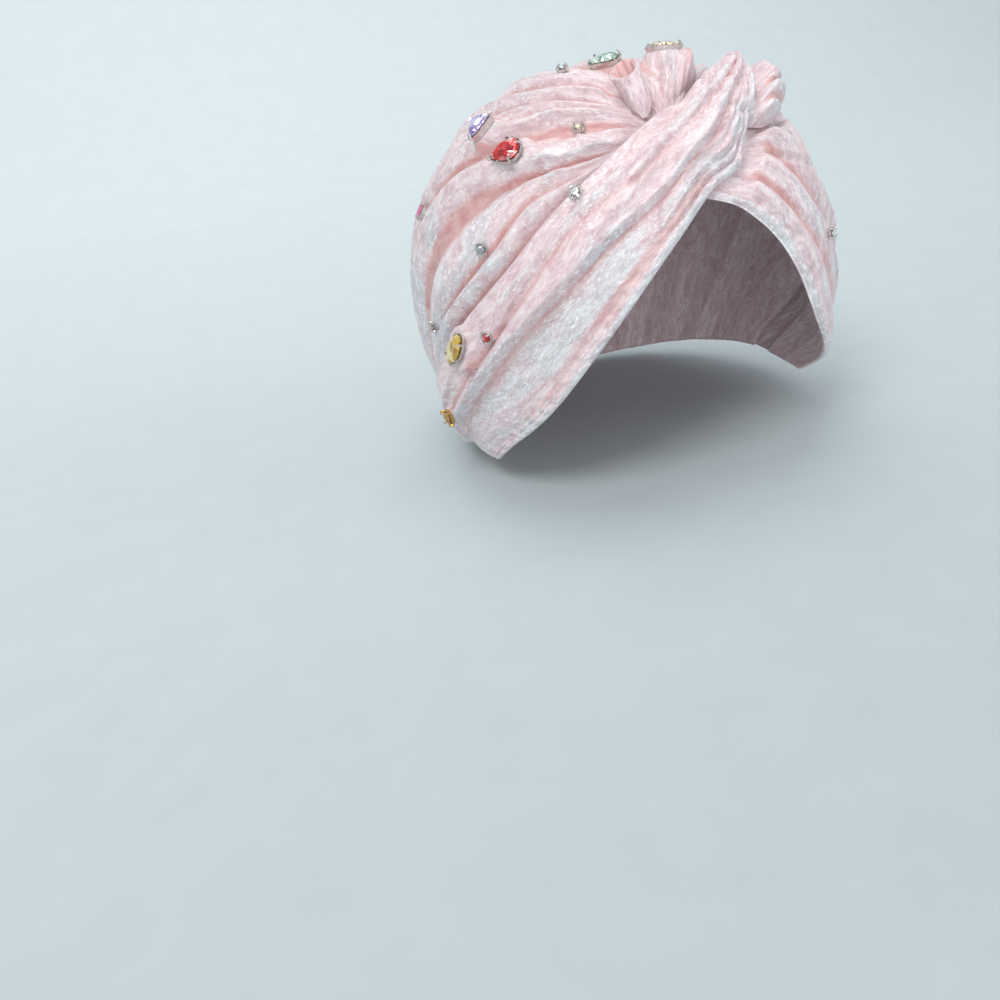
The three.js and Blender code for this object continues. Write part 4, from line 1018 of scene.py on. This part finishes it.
def glass(name, tone, deep):
    """Foil-backed cut glass: small facets of painted light and of deep colour as painted shade, behind a
    polished face.
    """
    m = Shader(name)
    facets = m.add("ShaderNodeTexVoronoi", feature="F1")
    facets.inputs["Scale"].default_value = 430.0
    m.link(m.place((1, 1, 1), "Object"), facets.inputs["Vector"])
    cell = m.add("ShaderNodeSeparateColor")
    m.link(facets.outputs["Color"], cell.inputs[0])
    cloud = m.noise(m.place((420, 420, 420), "Object"), 3, 0.55, 0.4)
    # Painted facet glints and painted facet shade: cells from the deep colour to a pale tint of the glass's
    # colour
    blend = m.math("ADD", m.math("MULTIPLY", cell.outputs[0], 0.7), m.math("MULTIPLY", cloud, 0.4))
    pale = tuple(min(1.0, 0.5 * c + 0.5) for c in tone)
    m.link(m.ramp(blend, [(0.28, deep), (0.5, tone), (0.92, pale)]), m.surface.inputs["Base Color"])
    m.link(m.range(cloud, 0.3, 0.7, 0.02, 0.08), m.surface.inputs["Roughness"])
    m.set(Metallic=0.6, Transmission_Weight=0.15, IOR=1.7, Coat_Weight=0.8, Coat_Roughness=0.03)
    m.bump(facets.outputs["Distance"], 0.7, 0.0006)
    return m.material


VELVET = velvet()
SILVER_METAL = metal("claw cup metal", (0.80, 0.78, 0.75), (0.58, 0.55, 0.52))
GOLD_METAL = metal("gold claw cup", (0.78, 0.56, 0.25), (0.52, 0.34, 0.12))
# Each glass: its colour, and the deep colour of its painted facet shade
GLASS = {
    "lavender_glass": glass("lavender glass", (0.66, 0.54, 0.90), (0.34, 0.25, 0.58)),
    "red_glass": glass("red glass", (0.85, 0.035, 0.04), (0.42, 0.01, 0.015)),
    "amber_glass": glass("amber glass", (0.92, 0.60, 0.10), (0.50, 0.26, 0.03)),
    "fuchsia_glass": glass("fuchsia glass", (0.80, 0.05, 0.34), (0.45, 0.01, 0.17)),
    "green_glass": glass("green glass", (0.55, 0.74, 0.60), (0.22, 0.36, 0.26)),
    "champagne_glass": glass("champagne glass", (0.80, 0.68, 0.42), (0.42, 0.31, 0.15)),
    "brown_glass": glass("brown glass", (0.62, 0.36, 0.12), (0.30, 0.14, 0.04)),
    "clear_glass": glass("clear glass", (0.84, 0.86, 0.88), (0.40, 0.42, 0.45)),
    "grey_glass": glass("grey glass", (0.46, 0.48, 0.52), (0.20, 0.21, 0.24)),
}

slots = {row["node"]: row["material_slot"] for row in frame["record"]["subparts"]}
for name, node in frame["nodes"].items():
    finish = GLASS.get(slots[name], SILVER_METAL)
    if name == "amber_round_setting":
        finish = GOLD_METAL
    node.data.materials.clear()
    node.data.materials.append(finish)


def cloth_piece(name, grids, node, **kind):
    """A sheet of velvet that stands in for a solid's node."""
    obj = shell(name, *grids, **kind)
    obj.data.materials.append(VELVET)
    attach(obj, "root")
    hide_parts(node)
    return obj


def within(low, high, soft, value):
    """1 between two values, falling to 0 over a soft width on either side."""
    return ease(low - soft, low + soft, value) * ease(high + soft, high - soft, value)


def right_tones(place, across, v):
    """Shares of painted sheen and painted shade on the right band: painted sheen on the hem and facet, and
    a painted shade strip between them.
    """
    hem = ease(2.9, 1.9, v)
    facet = within(2.6, 6.4, 0.9, place) * within(0.2, 0.5, 0.05, across)
    low = 0.7 * ease(4.2, 2.2, place) * ease(0.66, 0.54, across)
    apex = 0.6 * within(7, 11, 0.8, place) * ease(0.34, 0.24, across)
    # Painted shade strip between the hem and the facet
    strip_shade = within(4.6, 8.2, 0.6, place) * within(0.09, 0.19, 0.035, across) * 0.6
    return np.maximum.reduce((0.9 * hem, facet, low, apex)), strip_shade


def left_tones(place, across, v):
    """Shares of painted sheen and painted shade on the left band: painted sheen on the hem and side panel,
    and no painted shade strip.
    """
    hem = ease(2.9, 1.9, v)
    panel = 0.5 * within(1.2, 6, 1, place) * within(0.1, 0.5, 0.1, across)
    return np.maximum(0.9 * hem, panel), np.zeros_like(place)


def ridge_crumple(place, across):
    """Share of small crumples on the right band: the ridge over the knot."""
    return ease(8.6, 10.6, place) * ease(15, 13.5, place) * ease(0.28, 0.5, across)


def start_crumple(place, across):
    """Share of small crumples on the left band: its start under the crossing."""
    return ease(3.2, 0.8, place) * ease(0.2, 0.5, across)


crown = cloth_piece("crown_cloth", crown_grids(), "crown_cap")
# The rolled pleat's inner face carries a strong painted shade
tunnel = cloth_piece("rolled_pleat", tunnel_grids(), "crown_cap", wraps=True, lining=0.75)
left = cloth_piece("left_band_cloth", band_grids(
    LEFT_BAND, LEFT_FOLD_STATIONS, LEFT_FOLDS, LEFT_FINENESS,
    first_layer, left_cover, LEFT_CREASES, 100, start_crumple, left_tones,
), "left_band")
right = cloth_piece("right_band_cloth", band_grids(
    RIGHT_BAND, RIGHT_FOLD_STATIONS, RIGHT_FOLDS, RIGHT_FINENESS,
    right_floor, lambda d: 1.0, RIGHT_CREASES, 130, ridge_crumple, right_tones,
), "right_band")
knot = cloth_piece("knot_cloth", knot_grids(), "twist_knot")


# Backdrop, in metres: gap under the wrap, front of the floor, start and radius of the curve
# into the wall, height of the wall, half the width
FLOOR_GAP = 0.0005
FLOOR_FRONT = -1.6
CURVE_START = 0.75
CURVE_RADIUS = 0.5
CURVE_STEPS = 16
WALL_HEIGHT = 2.2
BACKDROP_HALF = 2.2


def backdrop():
    """Floor that rises in a curve into a wall, with painted shade that makes the floor darker near the
    camera.
    """
    floor = cad_low[2] - FLOOR_GAP
    profile = [(FLOOR_FRONT, floor)]
    for k in range(CURVE_STEPS + 1):
        angle = math.radians(90 * k / CURVE_STEPS)
        ahead = CURVE_START + CURVE_RADIUS * math.sin(angle)
        profile.append((ahead, floor + CURVE_RADIUS - CURVE_RADIUS * math.cos(angle)))
    profile.append((CURVE_START + CURVE_RADIUS, floor + WALL_HEIGHT))
    points = np.array([(x, y, z) for y, z in profile for x in (-BACKDROP_HALF, BACKDROP_HALF)]) / MM
    faces = np.array([(2 * k, 2 * k + 1, 2 * k + 3, 2 * k + 2) for k in range(len(profile) - 1)])
    obj = make_mesh("floor and backdrop", points, faces)
    m = Shader("backdrop paper")
    grain = m.noise(m.place((40, 40, 40), "Object"), 5, 0.6)
    along_floor = m.add("ShaderNodeSeparateXYZ")
    m.link(m.place((1, 1, 1), "Object"), along_floor.inputs[0])
    pale = m.ramp(grain, [(0.3, (0.69, 0.76, 0.78)), (0.7, (0.72, 0.79, 0.81))])
    # Painted shade: a darker floor colour near the camera
    near = m.ramp(grain, [(0.3, (0.40, 0.46, 0.48)), (0.7, (0.42, 0.48, 0.50))])
    away = m.range(along_floor.outputs[1], -0.25, CURVE_START)
    m.link(m.mix(away, near, pale), m.surface.inputs["Base Color"])
    m.link(m.range(grain, 0.3, 0.7, 0.75, 0.9), m.surface.inputs["Roughness"])
    m.bump(grain, 0.1, 0.0005)
    obj.data.materials.append(m.material)


# Soft lights: name, place and target in metres, size, power in watts, colour
LIGHTS = [
    ("soft key", (-0.75, -0.65, 1.25), (0, 0, 0.03), 0.7, 11, (1.0, 0.985, 0.97)),
    ("top", (0.1, 0.25, 1.4), (0, 0, 0.03), 1.0, 6.5, (1.0, 0.99, 0.98)),
    ("cool fill", (1.1, -0.7, 0.45), (0, 0, 0.02), 0.9, 3.5, (0.88, 0.94, 1.0)),
    ("low front fill", (-0.25, -1.1, 0.12), (0, 0, 0.02), 0.5, 2.3, (1.0, 0.97, 0.96)),
]
STUDIO_TONE = (0.86, 0.90, 0.92, 1)
STUDIO_STRENGTH = 0.68


def area_light(name, place, target, size, power, shade):
    light = bpy.data.lights.new(name, "AREA")
    light.shape = "DISK"
    light.size, light.energy, light.color = size, power, shade
    obj = bpy.data.objects.new(name, light)
    bpy.context.scene.collection.objects.link(obj)
    way = Vector(target) - Vector(place)
    obj.matrix_world = Matrix.Translation(place) @ way.to_track_quat("-Z", "Y").to_matrix().to_4x4()


def photo_camera():
    """Camera at the place, angle and perspective of the photo."""
    a, e, r = (math.radians(x) for x in (CAMERA_TURN, CAMERA_TILT, CAMERA_ROLL))
    ahead = np.array((-math.sin(a) * math.cos(e), math.cos(a) * math.cos(e), -math.sin(e)))
    level = np.array((math.cos(a), math.sin(a), 0))
    upright = np.cross(level, ahead)
    right_way = math.cos(r) * level + math.sin(r) * upright
    up_way = -math.sin(r) * level + math.cos(r) * upright
    tx = (ORIGIN_PIXEL[0] - AXIS_PIXEL[0]) * CAMERA_DISTANCE / FOCAL_PIXELS
    ty = -(ORIGIN_PIXEL[1] - AXIS_PIXEL[1]) * CAMERA_DISTANCE / FOCAL_PIXELS
    place = -(tx * right_way + ty * up_way + CAMERA_DISTANCE * ahead) * MM
    camera = bpy.data.cameras.new("photo camera")
    camera.sensor_width = SENSOR
    camera.lens = FOCAL_PIXELS / FRAME_PIXELS * SENSOR
    camera.shift_x = -(AXIS_PIXEL[0] - FRAME_PIXELS / 2) / FRAME_PIXELS
    camera.clip_start, camera.clip_end = 0.01, 20
    obj = bpy.data.objects.new("photo camera", camera)
    bpy.context.scene.collection.objects.link(obj)
    turn = Matrix((right_way, up_way, -ahead)).transposed().to_4x4()
    obj.matrix_world = Matrix.Translation(place) @ turn
    bpy.context.scene.camera = obj


backdrop()
for light in LIGHTS:
    area_light(*light)
world = bpy.data.worlds.new("studio")
world.use_nodes = True
background = world.node_tree.nodes["Background"]
background.inputs["Color"].default_value = STUDIO_TONE
background.inputs["Strength"].default_value = STUDIO_STRENGTH
bpy.context.scene.world = world
bpy.context.scene.view_settings.view_transform = "Standard"
photo_camera()
